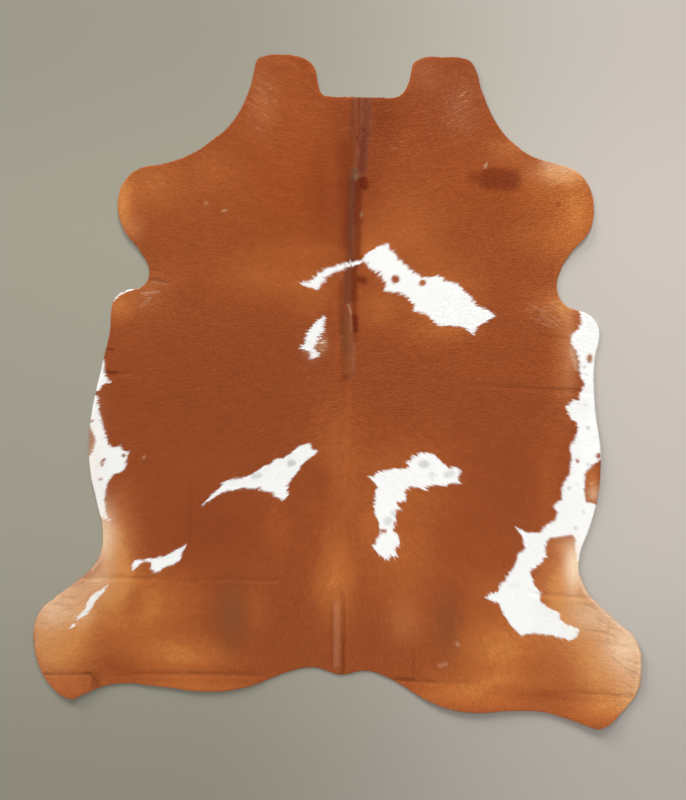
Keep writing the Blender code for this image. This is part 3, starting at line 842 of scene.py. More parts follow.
# %% Marks with a clearer edge
MARKS = {
    # kind: from x, y, to x, y, half width and blur in the photo's pixels, and strength
    "island": (
        (395.6, 279.0, 395.6, 279.0, 4.0, 0.8, 1.00),
        (422.0, 283.0, 423.0, 283.0, 3.0, 0.8, 1.00),
        (589.4, 355.2, 589.2, 361.6, 1.2, 1.3, 1.00),
        (577.0, 460.6, 577.0, 461.4, 1.3, 0.8, 1.00),
        (598.0, 455.0, 598.0, 456.6, 1.8, 1.3, 1.00),
        ( 92.4, 421.0,  92.4, 421.6, 1.1, 0.8, 1.00),
        (102.2, 461.0, 102.4, 465.0, 1.1, 0.8, 1.00),
        (104.5, 459.5, 104.5, 459.5, 1.1, 0.8, 1.00),
        (101.0, 479.0, 101.0, 479.0, 1.2, 0.8, 1.00),
        (124.0, 455.5, 124.0, 455.5, 1.7, 0.8, 1.00),
        (381.0, 531.0, 385.0, 530.8, 1.5, 0.8, 1.00),
        (589.3, 357.4, 589.3, 359.6, 2.5, 1.2, 1.00),
    ),
    "fleck": (
        (584.4, 366.6, 584.4, 367.4, 0.8, 0.8, 0.85),
        (290.5, 463.5, 292.5, 462.5, 2.8, 1.6, 0.60),
        (254.0, 476.5, 260.0, 475.5, 2.2, 1.6, 0.45),
        (422.0, 464.0, 425.0, 464.0, 3.4, 2.0, 0.50),
        (447.0, 474.5, 451.0, 473.5, 2.8, 1.8, 0.40),
        (387.0, 521.5, 388.5, 520.5, 3.2, 1.8, 0.45),
        (392.5, 513.0, 393.5, 513.0, 2.4, 1.6, 0.35),
        (432.0, 470.5, 432.0, 479.5, 0.9, 1.2, 0.30),
        (427.8, 475.0, 436.2, 475.0, 0.9, 1.2, 0.25),
        (586.0, 374.4, 586.0, 375.6, 0.8, 0.8, 0.45),
        (585.5, 404.4, 585.5, 405.6, 0.9, 0.8, 0.40),
        (588.0, 427.2, 588.0, 428.8, 1.0, 0.8, 0.85),
        (587.5, 463.0, 587.5, 465.0, 0.8, 0.8, 0.60),
        (569.0, 487.4, 569.0, 489.0, 1.0, 0.8, 0.60),
        (577.0, 484.0, 577.0, 484.0, 0.8, 0.8, 0.50),
        (583.0, 511.4, 583.0, 512.6, 0.8, 0.8, 0.60),
        (575.0, 527.6, 575.0, 528.4, 1.1, 0.8, 0.75),
        (538.0, 594.0, 543.0, 594.0, 1.6, 1.6, 0.16),
        (511.0, 585.5, 519.0, 586.5, 1.4, 2.4, 0.12),
    ),
    "pale": (
        # The first pale line is a painted highlight along the right foreleg's front.
        (545.0, 163.6, 574.0, 171.6, 2.4, 8.0, 0.34),
        (103.6, 512.0, 105.0, 540.0, 0.8, 3.6, 0.95),
        (105.0, 540.0, 100.4, 560.0, 0.8, 3.6, 0.80),
        (100.4, 560.0,  91.8, 571.0, 0.8, 3.6, 0.66),
        ( 83.6, 579.0,  62.0, 595.6, 0.8, 3.6, 0.55),
        ( 62.0, 595.6,  43.4, 612.0, 1.0, 4.0, 0.74),
        ( 43.4, 612.0,  37.0, 626.0, 0.8, 4.0, 0.50),
        ( 37.0, 626.0,  37.4, 646.0, 0.6, 3.6, 0.34),
        (577.6, 549.0, 576.4, 570.0, 1.6, 4.0, 1.00),
        (576.4, 570.0, 585.8, 593.6, 1.2, 4.6, 1.00),
        (585.8, 593.6, 609.8, 618.4, 1.0, 4.0, 0.95),
        (609.8, 618.4, 629.0, 635.0, 1.2, 4.0, 0.95),
        (629.0, 635.0, 637.6, 652.0, 2.0, 5.0, 1.00),
        (637.6, 652.0, 638.2, 672.0, 1.6, 6.0, 0.86),
        (638.2, 672.0, 634.6, 690.0, 1.2, 5.0, 0.66),
        (576.0, 598.0, 592.0, 606.0, 1.0, 4.0, 0.26),
        (571.0, 349.0, 577.0, 368.0, 1.8, 4.4, 0.40),
    ),
    # Light lines: pale flecks in the hair, and painted highlights along the ridges of the backbone, the
    # tail and the armpit creases.
    "light": (
        (355.4,  96.0, 355.0, 118.0, 1.0, 2.4, 0.05),
        (369.2,  97.0, 369.4, 126.0, 0.7, 2.0, 0.06),
        (362.4, 133.0, 361.0, 138.6, 0.6, 1.0, 0.50),
        (360.4, 136.0, 359.6, 139.6, 0.4, 0.9, 0.34),
        (358.6, 151.0, 358.2, 156.0, 0.4, 0.9, 0.44),
        (358.0, 157.4, 358.2, 161.4, 0.4, 0.9, 0.34),
        (355.2, 176.0, 356.2, 179.6, 0.5, 0.9, 0.48),
        (353.0, 184.4, 352.6, 187.6, 0.5, 0.9, 0.20),
        (361.4, 212.6, 360.4, 217.0, 0.6, 1.1, 0.40),
        (360.4, 175.0, 361.0, 179.0, 0.9, 1.6, 0.10),
        (348.1, 304.6, 349.6, 309.0, 0.5, 0.8, 0.50),
        (349.6, 309.0, 350.8, 314.0, 0.5, 0.8, 0.42),
        (350.9, 314.0, 351.6, 332.0, 0.4, 1.0, 0.20),
        (353.4, 340.0, 353.8, 372.0, 0.6, 2.0, 0.07),
        (337.0, 604.0, 336.6, 664.0, 2.2, 3.6, 0.09),
        (486.2, 163.4, 485.2, 167.6, 0.6, 0.9, 0.55),
        (206.0, 203.0, 206.0, 204.0, 1.0, 1.8, 0.20),
        (222.4, 211.2, 226.0, 210.6, 0.7, 1.0, 0.34),
        (143.8, 457.0, 144.2, 457.8, 0.8, 1.2, 0.36),
        (456.8, 643.0, 457.4, 644.2, 1.3, 1.5, 0.36),
        (439.0, 665.2, 446.0, 664.0, 0.9, 2.0, 0.22),
        (543.0, 310.0, 561.0, 322.0, 0.3, 0.8, 0.16),
        (545.0, 318.0, 560.0, 327.0, 0.3, 0.8, 0.16),
        (551.5, 302.4, 562.0, 301.0, 0.4, 1.0, 0.20),
        (530.0, 304.0, 545.0, 312.0, 0.3, 0.8, 0.14),
        (142.0, 293.2, 160.0, 292.0, 0.5, 1.2, 0.26),
        (140.8, 306.0, 151.5, 297.0, 0.5, 1.2, 0.22),
        (153.0, 281.8, 168.0, 284.6, 0.4, 1.0, 0.20),
        (589.0, 484.0, 595.0, 480.6, 0.3, 0.8, 0.40),
        (588.0, 491.0, 598.0, 486.0, 0.3, 0.8, 0.50),
        (590.0, 497.0, 599.0, 491.6, 0.4, 0.8, 0.55),
        (587.4, 499.0, 590.4, 497.0, 0.3, 0.8, 0.45),
        (548.0, 305.4, 568.0, 317.0, 0.2, 0.7, 0.26),
        (536.0, 308.0, 557.0, 325.6, 0.2, 0.7, 0.22),
        (551.0, 303.8, 570.0, 313.6, 0.2, 0.7, 0.26),
        (547.0, 312.4, 562.0, 324.0, 0.2, 0.7, 0.24),
        (541.0, 317.0, 553.0, 327.4, 0.2, 0.7, 0.20),
    ),
    "rose": (
        (355.0,  96.0, 354.6, 136.0, 2.6, 3.0, 0.60),
        (365.0,  94.0, 364.2, 134.0, 5.8, 2.8, 0.95),
        (363.4, 134.0, 361.0, 170.0, 5.0, 3.6, 0.95),
        (352.8, 180.0, 350.8, 264.0, 3.0, 3.0, 0.95),
        (348.0, 266.0, 347.4, 300.0, 3.4, 3.0, 0.80),
        (347.0, 306.0, 347.4, 350.0, 5.0, 3.4, 0.30),
        (348.4, 350.0, 350.6, 372.0, 3.2, 4.2, 0.20),
        (355.2, 136.0, 354.0, 172.0, 1.8, 2.4, 0.52),
    ),
    "red": (
        (358.8,  94.0, 358.6, 112.0, 0.6, 0.8, 0.85),
        (358.6, 112.0, 358.0, 141.0, 0.5, 1.2, 0.60),
        (357.8, 136.8, 357.8, 140.0, 1.1, 1.2, 0.80),
        (362.6, 132.0, 360.4, 170.0, 3.0, 4.0, 0.46),
        (361.8, 181.0, 363.2, 185.6, 4.2, 3.6, 1.00),
        (357.6, 184.0, 357.4, 222.0, 3.2, 4.4, 0.80),
        (358.2, 206.0, 357.4, 262.0, 2.6, 3.8, 0.66),
        (344.0, 146.0, 345.6, 244.0, 4.0, 9.0, 0.40),
        (342.0, 141.0, 345.6, 145.0, 1.6, 3.6, 0.34),
        (354.4, 262.0, 353.8, 300.0, 2.4, 3.4, 0.80),
        (353.8, 300.0, 354.8, 320.0, 1.6, 3.0, 0.66),
        (358.6, 279.6, 363.4, 280.6, 2.6, 4.6, 0.85),
        (341.0, 284.0, 340.4, 332.0, 1.4, 4.0, 0.46),
        (354.8, 316.0, 355.2, 331.0, 2.2, 2.2, 1.00),
        (355.2, 334.0, 354.8, 342.0, 0.8, 3.0, 0.45),
        (344.8, 377.4, 347.2, 377.0, 2.0, 3.2, 0.46),
        (489.0, 178.6, 510.0, 180.6, 9.2, 6.4, 0.62),
        (474.0, 177.8, 488.0, 178.4, 3.6, 7.0, 0.46),
        (475.7, 103.4, 476.0, 104.4, 2.6, 5.0, 0.32),
        (498.0, 136.0, 503.0, 139.0, 2.6, 5.0, 0.18),
        (557.2, 204.0, 557.6, 205.0, 1.9, 2.0, 0.46),
        ( 96.6, 677.0,  98.0, 686.0, 3.4, 3.0, 0.30),
        (106.0, 372.4, 116.0, 373.0, 1.3, 2.4, 0.62),
    ),
    # Dark lines: painted shade along the folds, the creases and the tail grooves, and in a small nick of
    # the edge.
    "dark": (
        (332.4, 606.0, 332.2, 668.0, 0.5, 2.2, 0.26),
        (343.6, 596.0, 343.2, 640.0, 0.6, 2.2, 0.26),
        (343.2, 640.0, 343.8, 672.0, 0.9, 2.0, 0.46),
        ( 44.0, 673.4,  66.0, 673.8, 0.4, 1.0, 0.44),
        ( 66.0, 674.0,  84.0, 673.2, 0.6, 1.1, 0.44),
        ( 84.0, 673.0,  93.0, 673.6, 1.0, 1.6, 0.56),
        ( 92.4, 676.0,  93.4, 687.0, 0.7, 1.6, 0.50),
        ( 78.0, 643.0, 108.0, 640.0, 0.3, 1.6, 0.12),
        ( 89.0, 651.0, 106.0, 640.6, 0.3, 1.6, 0.10),
        (130.0, 577.2, 150.0, 577.8, 0.7, 2.0, 0.22),
        (588.0, 692.0, 612.0, 694.4, 0.4, 1.6, 0.16),
        (612.0, 694.4, 634.0, 693.6, 0.5, 1.6, 0.26),
        (613.0, 696.8, 630.0, 697.8, 0.3, 1.2, 0.18),
        (124.0, 673.6, 140.0, 673.4, 0.5, 1.4, 0.22),
        (155.0, 672.6, 246.0, 672.0, 0.4, 0.9, 0.30),
        (190.0, 672.2, 200.0, 672.8, 0.7, 0.9, 0.40),
        (396.0, 678.2, 415.0, 679.4, 0.9, 1.2, 0.55),
        (413.4, 656.0, 413.2, 681.0, 0.4, 0.9, 0.22),
        (415.0, 679.6, 470.0, 681.2, 0.4, 0.9, 0.24),
        ( 88.0, 571.0, 110.0, 573.4, 0.3, 1.2, 0.16),
        (112.0, 574.0, 133.0, 576.6, 0.3, 1.2, 0.14),
        (155.0, 578.0, 276.0, 580.6, 0.4, 1.6, 0.16),
        (552.0, 595.4, 588.0, 596.6, 0.3, 1.4, 0.10),
        (104.0, 349.2, 113.0, 349.6, 0.7, 0.8, 0.60),
        (354.0, 381.6, 480.0, 385.8, 0.4, 1.6, 0.10),
        (480.0, 386.0, 548.0, 388.6, 0.4, 1.2, 0.14),
        (549.0, 388.2, 580.0, 389.0, 0.3, 1.1, 0.50),
        (538.0, 334.0, 569.0, 338.4, 0.5, 1.2, 0.28),
        (191.4, 482.0, 191.0, 540.0, 0.5, 1.6, 0.14),
        (205.0, 284.0, 168.0, 286.0, 0.4, 1.6, 0.10),
        (149.0, 279.0, 167.6, 284.0, 0.6, 0.9, 0.40),
        (150.0, 261.0, 160.0, 262.0, 0.5, 0.9, 0.26),
        (577.4, 552.6, 580.0, 552.6, 0.6, 0.4, 0.90),
    ),
    "smoke": (
        (346.8, 318.0, 348.0, 352.0, 4.8, 3.4, 0.40),
        (348.4, 352.0, 350.6, 374.0, 3.4, 4.2, 0.36),
    ),
    "green": (
        (354.6, 171.0, 355.2, 177.0, 2.6, 2.8, 0.72),
        (352.6, 186.0, 351.6, 240.0, 0.8, 2.0, 0.22),
        (589.5, 355.0, 589.3, 361.6, 4.0, 2.0, 0.40),
        (578.4, 366.0, 579.4, 372.0, 1.0, 2.0, 0.40),
    ),
}
EVEN_KINDS = ("island", "dark")
GRAIN = 3.6 * MM
SPECKLE = 0.12
HASH_X, HASH_Y, HASH_GAIN = 127.1, 311.7, 43758.5453
NEVER_ZERO = 1e-12
WANDER, WANDER_LENGTH = 1.5 * MM, 26.0 * MM


def grain_at(points):
    """A random value from -1 to 1 for each small square of the floor, the same on every run."""
    column, row = np.floor(points / GRAIN).T
    value = np.sin(column * HASH_X + row * HASH_Y) * HASH_GAIN
    return 2.0 * (value - np.floor(value)) - 1.0


def wandered(points):
    """The points moved to and fro by slow and quick waves, so that no mark looks ruled."""
    x, y = points.T / WANDER_LENGTH
    to_side = np.sin(2.3 * y + 1.4 * np.sin(1.9 * x)) + 0.6 * np.sin(6.1 * y - 2.7 * x)
    to_head = np.sin(2.1 * x + 1.2 * np.sin(2.6 * y)) + 0.6 * np.sin(5.3 * x + 3.1 * y)
    return points + WANDER / 2 * np.stack([to_side, to_head], axis=1)


all_marks = [(kind, *mark) for kind, marks in MARKS.items() for mark in marks]


def mark_shares(points):
    """For each kind of mark, how strongly it shows at each point, from 0 to 1."""
    points = wandered(points)
    shares = {kind: np.zeros(len(points)) for kind in MARKS}
    for kind, from_x, from_y, to_x, to_y, half_width, blur, strength in all_marks:
        start, end = on_floor(from_x, from_y), on_floor(to_x, to_y)
        inner, outer = (half_width - blur / 2) * PHOTO_SCALE, (half_width + blur) * PHOTO_SCALE
        low, high = np.minimum(start, end) - outer, np.maximum(start, end) + outer
        near = np.flatnonzero(((points > low) & (points < high)).all(1))
        line, away = end - start, points[near] - start
        share = np.clip((away @ line) / max(line @ line, NEVER_ZERO), 0.0, 1.0)
        distance = np.hypot(*(away - share[:, None] * line).T)
        here = strength * smooth_step(-outer, -inner, -distance)
        if kind not in EVEN_KINDS:
            here = here * (1.0 - SPECKLE + SPECKLE * grain_at(points[near]))
        shares[kind][near] = np.maximum(shares[kind][near], here)
    return shares


print(len(all_marks), "marks of", len(MARKS), "kinds")

# %% Everything the coat's finish needs to know at a point
# Painted shade darkens the hair along the folds and creases: CREASE_SHADE and FOLD_SHADE say how much.
CREASE_SHADE = 0.27
FOLD_SHADE, FOLD_SHADE_WIDTH = 0.05, 6.0 * MM
BORDER_BLUR = 0.8 * MM
# The sheet under the locks has a middling random shade, and counts as 0.3 along a lock, so it takes part
# of the painted root shade.
SHEET_SHADE, SHEET_ALONG = 0.5, 0.3


def painted_fold_shade(points):
    """How much painted shade darkens the hair along each fold and crease, where the hair parts."""
    x, y = points.T
    parted = np.zeros(len(x))
    for _, line, from_x, to_x, depth, _ in FOLDS:
        on_line = bump(y + fold_drop(x) - line, FOLD_SHADE_WIDTH)
        parted = np.maximum(parted, FOLD_SHADE * fold_share(x, from_x, to_x) * on_line)
    for crease in all_creases:
        parted = np.maximum(parted, CREASE_SHADE * crease[-1] * crease_reading(x, y, crease))
    return parted


def coat_marks(points, frayed, wave):
    """Named shares that the coat's finish mixes its colours by, one value for each point.

    points are where the colour is seen. At the border of a patch the frayed places count instead,
    because hairs beside each other don't agree on where it is, and wave moves it in or out.
    """
    tone, pale, smoke = zone_shares(points)
    marks = mark_shares(points)
    white = smooth_step(-BORDER_BLUR, BORDER_BLUR, white_depth(frayed) + wave)
    shares = {name: marks[name] for name in ("green", "rose", "red", "fleck")}
    shares["tone"] = tone
    # Pale also takes the light marks, with their painted highlights on the ridges.
    shares["pale"] = np.maximum(pale, np.maximum(marks["pale"], marks["light"]))
    shares["smoke"] = np.maximum(smoke, marks["smoke"])
    shares["russet"] = np.maximum(-smoke, 0.0)
    # The dark share holds the dark marks and the painted shade of the folds and creases.
    shares["dark"] = np.maximum(marks["dark"], painted_fold_shade(points))
    shares["white"] = white * (1.0 - marks["island"])
    return shares


def write_on_points(mesh, shares):
    """Stores one number, or three, for each point of the mesh under each name."""
    for name, values in shares.items():
        values = np.asarray(values, dtype=np.float32)
        kind, key = ("FLOAT", "value") if values.ndim == 1 else ("FLOAT_VECTOR", "vector")
        mesh.attributes.new(name, kind, "POINT").data.foreach_set(key, values.ravel())


sheet_marks = coat_marks(sheet_points, sheet_points, np.zeros(len(sheet_points)))
sheet_marks["shade"] = np.full(len(sheet_points), SHEET_SHADE)
sheet_marks["along"] = np.full(len(sheet_points), SHEET_ALONG)
print("Shares at each point:", sorted(sheet_marks))

# %% [markdown]
# ## Which way the hair lies
#
# On a cow the hair runs from the back down the sides, so on a hide it points away from the backbone
# and towards the tail. On the neck it runs straight out, and beside the flaps it even turns forwards.
# Posts with a direction each are placed on one side, as an angle from tailwards to outwards. Near
# posts count most, and the other side is the mirror image.

# %% Posts that steer the hair
FLOW_POSTS = (
    # post,                  across, along the back in mm, angle in degrees
    ("neck, by the spine",      40,   880,   84),
    ("neck",                   180,   880,   93),
    ("flap",                   200,  1030,  108),
    ("neck edge",              330,   900,  130),
    ("neck root",              430,   800,  115),
    ("shoulder, by the spine",  40,   640,   96),
    ("shoulder",               300,   640,   94),
    ("foreleg",                640,   600,   98),
    ("foreleg rear",           650,   430,   86),
    ("withers, by the spine",   60,   420,  132),
    ("withers",                200,   370,  130),
    ("ribs",                   440,   290,  100),
    ("small patch",             80,   170,   90),
    ("armpit",                 620,   300,   66),
    ("back",                    50,    40,   80),
    ("belly",                  340,   100,   78),
    ("flank",                  720,    50,   76),
    ("loin",                    50,  -210,   62),
    ("hip",                    330,  -250,   54),
    ("lower flank",            720,  -300,   60),
    ("croup",                   50,  -480,   28),
    ("thigh",                  420,  -600,   40),
    ("groin",                  740,  -560,   52),
    ("hind leg",               880,  -800,   62),
    ("tail",                    40,  -820,    8),
    ("rump",                   330,  -820,   16),
)
FLOW_REACH = 110.0 * MM
FLOW_TURNS_OVER = 9.0 * MM
FLOW_SWAY = math.radians(13.0)
SWAY_LENGTH, SWAY_STRETCH, SWAY_LAYER = 70.0 * MM, (1.0, 2.0), 8.1


def hair_flow(points, swaying=True):
    """Unit directions in the plane along which the hair lies."""
    x, y = points.T
    across = x - spine_x(y)
    sums = np.zeros((2, len(x)))
    for _, post_across, post_y, angle in FLOW_POSTS:
        away = np.hypot(np.abs(across) - post_across * MM, y - post_y * MM)
        weight = 1.0 / (away**2 + FLOW_REACH**2) ** 2
        turn = math.radians(angle)
        sums += weight * np.array([[math.sin(turn)], [math.cos(turn)]])
    angle = np.arctan2(sums[0], sums[1])
    if swaying:
        places = points * SWAY_STRETCH / SWAY_LENGTH
        sway = [noise.noise((across_it, along_it, SWAY_LAYER)) for across_it, along_it in places]
        angle = angle + FLOW_SWAY * np.array(sway)
    side = np.clip(across / FLOW_TURNS_OVER, -1.0, 1.0)
    flow = np.stack([np.sin(angle) * side, -np.cos(angle)], axis=1)
    return flow / np.maximum(np.linalg.norm(flow, axis=1, keepdims=True), NEVER_ZERO)


print("Hair direction on the right ribs:", hair_flow(np.array([[0.3, 0.35]])).round(2))

# %% [markdown]
# Hairs that grow behind each other share their colour, so a coat shows fine streaks along its hair.
# A well known way to draw such streaks is to lay down random grains and to blur them along the
# direction of the flow. Here each place takes the mean of the grains on a short line through it.

# %% Streaks along the hair
STREAK_STEPS = 9
CALM_FROM, CALM_TO, CALM_SHARE = 0.20, 0.50, 0.70
UNEVENNESS = (
    # part of the back,  y in mm, streaks, mottling
    ("flaps",               1080,    0.42,    0.60),
    ("neck",                 800,    0.60,    0.70),
    ("before the shoulders", 690,    0.34,    0.50),
    ("shoulders",            560,    0.24,    0.40),
    ("belly",                  0,    0.50,    0.60),
    ("hips",                -480,    0.34,    0.56),
    ("rump",                -700,    0.24,    0.46),
    ("tail",                -950,    0.24,    0.46),
)


def along_the_back(points, column):
    """One column of the unevenness table at each point, even between its rows."""
    rows = sorted((row[1] * MM, row[column]) for row in UNEVENNESS)
    return np.interp(points[:, 1], *zip(*rows))


def grains_along(points, steps):
    """Values from about -1 to 1: the mean of the grains on a line of that many steps each way."""
    flow = hair_flow(points, swaying=False)
    line = [grain_at(points + flow * step * GRAIN) for step in range(-steps, steps + 1)]
    return np.mean(line, axis=0) * math.sqrt(len(line))


def hair_streaks(points):
    """Streaks along the hair, strong on the neck and faint on the legs."""
    away = np.abs(points[:, 0] - spine_x(points[:, 1]))
    calm = 1.0 - CALM_SHARE * smooth_step(CALM_FROM, CALM_TO, away)
    return grains_along(points, STREAK_STEPS) * along_the_back(points, 2) * calm


flap_points = hair_points[-500:]
print("Strongest streak on the flaps:", round(float(hair_streaks(flap_points).max()), 2))

# %% [markdown]
# In a few places single hairs catch the light as thin pale streaks, like whiskers: painted highlights on
# the flaps, in the armpits and on the foreleg. They are the highest of such streaks, only shorter, so
# they follow the hair as well.

# %% Painted glints on single hairs
GLINT_STEPS = 3
GLINT_FROM = 0.55
HAIR_GLINTS = (
    # place,                photo x,  y, reach x, y,  share
    ("left flap",              262, 102,   14,  26,   0.20),
    ("right flap",             462, 104,   18,  30,   0.20),
    ("neck",                   400, 120,   60,  40,   0.05),
    ("left armpit",            154, 297,   14,  10,   0.24),
    ("right armpit",           544, 314,   22,  14,   0.28),
    ("right foreleg front",    558, 172,   20,  11,   0.50),
    ("left foreleg",           154, 182,   18,  10,   0.22),
    ("small patch",            324, 343,    5,   9,   1.15),
    ("left hind leg",           60, 606,   26,  20,   0.20),
    ("right hind leg",         612, 640,   34,  34,   0.22),
)


def hair_glints(points):
    """How strongly the painted glint of single hairs lightens each point, from 0 to 1."""
    share = np.zeros(len(points))
    for _, *place, amount in HAIR_GLINTS:
        share += amount * near_place(points, *place)
    return share * np.maximum(0.0, grains_along(points, GLINT_STEPS) - GLINT_FROM)


sheet_marks["streak"] = np.zeros(len(sheet_points))
sheet_marks["uneven"] = along_the_back(sheet_points, 3)
write_on_points(sheet_mesh, sheet_marks)
print("The sheet carries", len(sheet_marks), "shares")

# %% [markdown]
# ## The ground the locks grow from
#
# The locks are laid in four pieces, so that none becomes too heavy: neck and rump, left and right.
# Each grows from its own patch of the hair side, copied from the sheet with three things written on
# it: the hair's direction, its length and its height. Hair is shorter where it would hang far over
# the cut edge.

# %% Length and height of the hair
LOCK_LENGTH = 17.0 * MM
LOCK_WIDTH = 2.1 * MM
OVERHANG = 1.5 * MM
SHORTEST_LOCK = 4.0 * MM


def lock_lengths(points, flow):
    """How long the locks at each point are, and how much of their full height they have there."""
    depth, inward = depth_inside(points)
    outwards = np.maximum(-(flow * inward).sum(1), NEVER_ZERO)
    room = (np.maximum(depth, 0.0) + OVERHANG) / outwards
    return np.clip(room, SHORTEST_LOCK, LOCK_LENGTH), edge_roll(np.maximum(depth, 0.0))


ground_corners = np.vstack([over, roll[2 * RING:]])
ground_points = sheet_points[:flesh_from]
ground_flow = hair_flow(ground_points)
ground_lengths, ground_rolls = lock_lengths(ground_points, ground_flow)
shortest, longest = (ground_lengths.min() / MM).round(1), (ground_lengths.max() / MM).round(1)
print("Locks from", shortest, "to", longest, "mm")

# %% Split the ground in four
NECK_FROM = 0.075
quarter_middle = sheet_points[ground_corners].mean(axis=1)
in_neck = quarter_middle[:, 1] > NECK_FROM
on_left = quarter_middle[:, 0] < spine_x(quarter_middle[:, 1])
QUARTERS = {
    "hair_neck_left": in_neck & on_left,
    "hair_neck_right": in_neck & ~on_left,
    "hair_rump_left": ~in_neck & on_left,
    "hair_rump_right": ~in_neck & ~on_left,
}


def ground_piece(name, chosen):
    """A patch of the hair side, with the hair's direction and size written on its points."""
    triangles = ground_corners[chosen]
    used, places = np.unique(triangles, return_inverse=True)
    points = np.column_stack([sheet_points[used], heights[used]])
    mesh = mesh_from(name + "_ground", points, places.reshape(-1, 3))
    flow = np.column_stack([ground_flow[used], np.zeros(len(used))])
    sizes = {"lock_length": ground_lengths[used], "lock_roll": ground_rolls[used]}
    write_on_points(mesh, {"flow": flow} | sizes)
    return new_object(name, mesh)


coats = [ground_piece(name, chosen) for name, chosen in QUARTERS.items()]
triangle_areas = signed_areas(sheet_points, ground_corners)
for name, chosen in QUARTERS.items():
    print(name, "covers", round(float(triangle_areas[chosen].sum()), 3), "square metres")

# %% [markdown]
# ## Laying the locks with Geometry Nodes
#
# A lock is a flat blade of hair, three triangles with a pointed tip. The tree scatters points evenly,
# turns a blade at each so that it lies on the skin along the hair's direction, and varies its size and
# turn a little. Each lock rises from its root to its tip, so it lies over the roots of the next ones,
# as real hair does. The place of its root is kept as an attribute, because the colour depends on it.


# %% Small helpers for node trees
def feed(tree, node, **inputs):
    """Links or sets a node's inputs, called by name, or by number as i0, i1 and so on."""
    for key, value in inputs.items():
        socket = node.inputs[int(key[1:]) if key[1:].isdigit() else key.replace("_", " ")]
        if isinstance(value, bpy.types.NodeSocket):
            tree.links.new(value, socket)
        elif value is not None:
            socket.default_value = value


def add_node(tree, kind, settings=None, **inputs):
    node = tree.nodes.new(kind)
    for key, value in (settings or {}).items():
        setattr(node, key, value)
    feed(tree, node, **inputs)
    return node


def math_of(tree, operation, first, second=None, third=None):
    node = add_node(tree, "ShaderNodeMath", {"operation": operation}, i0=first, i1=second, i2=third)
    return node.outputs[0]


def times(tree, *factors):
    """The product of all the factors."""
    product = factors[0]
    for factor in factors[1:]:
        product = math_of(tree, "MULTIPLY", product, factor)
    return product


def scaled(tree, value, factor, offset):
    """value * factor + offset"""
    return math_of(tree, "MULTIPLY_ADD", value, factor, offset)


def above_zero(tree, value):
    return math_of(tree, "MAXIMUM", value, 0.0)


# %% The tree's named inputs
FIRST_SEED = 11
LOCK_INPUTS = (
    # input,          kind of socket,         value
    ("Ground",        "NodeSocketGeometry",   None),
    ("Spacing",       "NodeSocketFloat",      2.9 * MM),
    ("Width",         "NodeSocketFloat",      LOCK_WIDTH),
    ("Loft",          "NodeSocketFloat",      LOCK_LOFT),
    ("Stray turn",    "NodeSocketFloat",      math.radians(15.0)),
    ("Stray roll",    "NodeSocketFloat",      math.radians(5.0)),
    ("Seed",          "NodeSocketInt",        FIRST_SEED),
    ("Finish",        "NodeSocketMaterial",   None),
)


def start_lock_tree():
    tree = bpy.data.node_groups.new("lay_locks", "GeometryNodeTree")
    tree.is_modifier = True
    for title, kind, value in LOCK_INPUTS:
        socket = tree.interface.new_socket(title, in_out="INPUT", socket_type=kind)
        if value is not None:
            socket.default_value = value
    tree.interface.new_socket("Locks", in_out="OUTPUT", socket_type="NodeSocketGeometry")
    return tree, tree.nodes.new("NodeGroupInput").outputs, tree.nodes.new("NodeGroupOutput").inputs


def random_value(tree, low, high, seed, offset):
    node = add_node(tree, "FunctionNodeRandomValue", {"data_type": "FLOAT"}, i2=low, i3=high,
                    Seed=math_of(tree, "ADD", seed, offset))
    return node.outputs[1]


# %% One lock, as a blade that is 1 long and 1 wide
BLADE_ROOT, BLADE_BELLY = 0.7, 1.0
BELLY_AT, BELLY_RISE = 0.42, 0.72
TIP_MERGE = 1e-4


def with_attribute(tree, geometry, name, kind, value):
    """The geometry with a named value stored on its points."""
    settings = {"data_type": kind, "domain": "POINT"}
    node = add_node(tree, "GeometryNodeStoreNamedAttribute", settings, Geometry=geometry, Name=name,
                    Value=value)
    return node.outputs[0]


def blade(tree):
    """A grid of three rows of two points, narrowed at its root and drawn to one point at its tip."""
    grid = add_node(tree, "GeometryNodeMeshGrid", None, Size_X=1.0, Size_Y=1.0, Vertices_X=3,
                    Vertices_Y=2)
    place = add_node(tree, "GeometryNodeInputPosition").outputs[0]
    parts = add_node(tree, "ShaderNodeSeparateXYZ", None, i0=place)
    along = math_of(tree, "ADD", parts.outputs["X"], 0.5)
    to_belly = math_of(tree, "MINIMUM", math_of(tree, "DIVIDE", along, 0.5), 1.0)
    to_tip = above_zero(tree, scaled(tree, along, 2.0, -1.0))
    widens = scaled(tree, to_belly, BLADE_BELLY - BLADE_ROOT, BLADE_ROOT)
    width = math_of(tree, "SUBTRACT", widens, to_tip)
    length, height = (
        math_of(tree, "ADD", times(tree, to_belly, belly), times(tree, to_tip, 1.0 - belly))
        for belly in (BELLY_AT, BELLY_RISE)
    )
    shaped = add_node(tree, "ShaderNodeCombineXYZ", None, X=length, Z=height,
                      Y=times(tree, parts.outputs["Y"], width))
    kept = with_attribute(tree, grid.outputs["Mesh"], "along", "FLOAT", along)
    moved = add_node(tree, "GeometryNodeSetPosition", None, Geometry=kept, Position=shaped.outputs[0])
    return add_node(tree, "GeometryNodeMergeByDistance", None, Geometry=moved.outputs[0],
                    Distance=TIP_MERGE).outputs[0]


# %% Scatter, turn and realize the locks
LENGTHS, WIDTHS, LOFTS = (0.75, 1.12), (0.75, 1.3), (0.75, 1.1)
EXTRA_TRIES = 3.0


def named_field(tree, name, kind):
    node = add_node(tree, "GeometryNodeInputNamedAttribute", {"data_type": kind}, Name=name)
    return node.outputs[0]


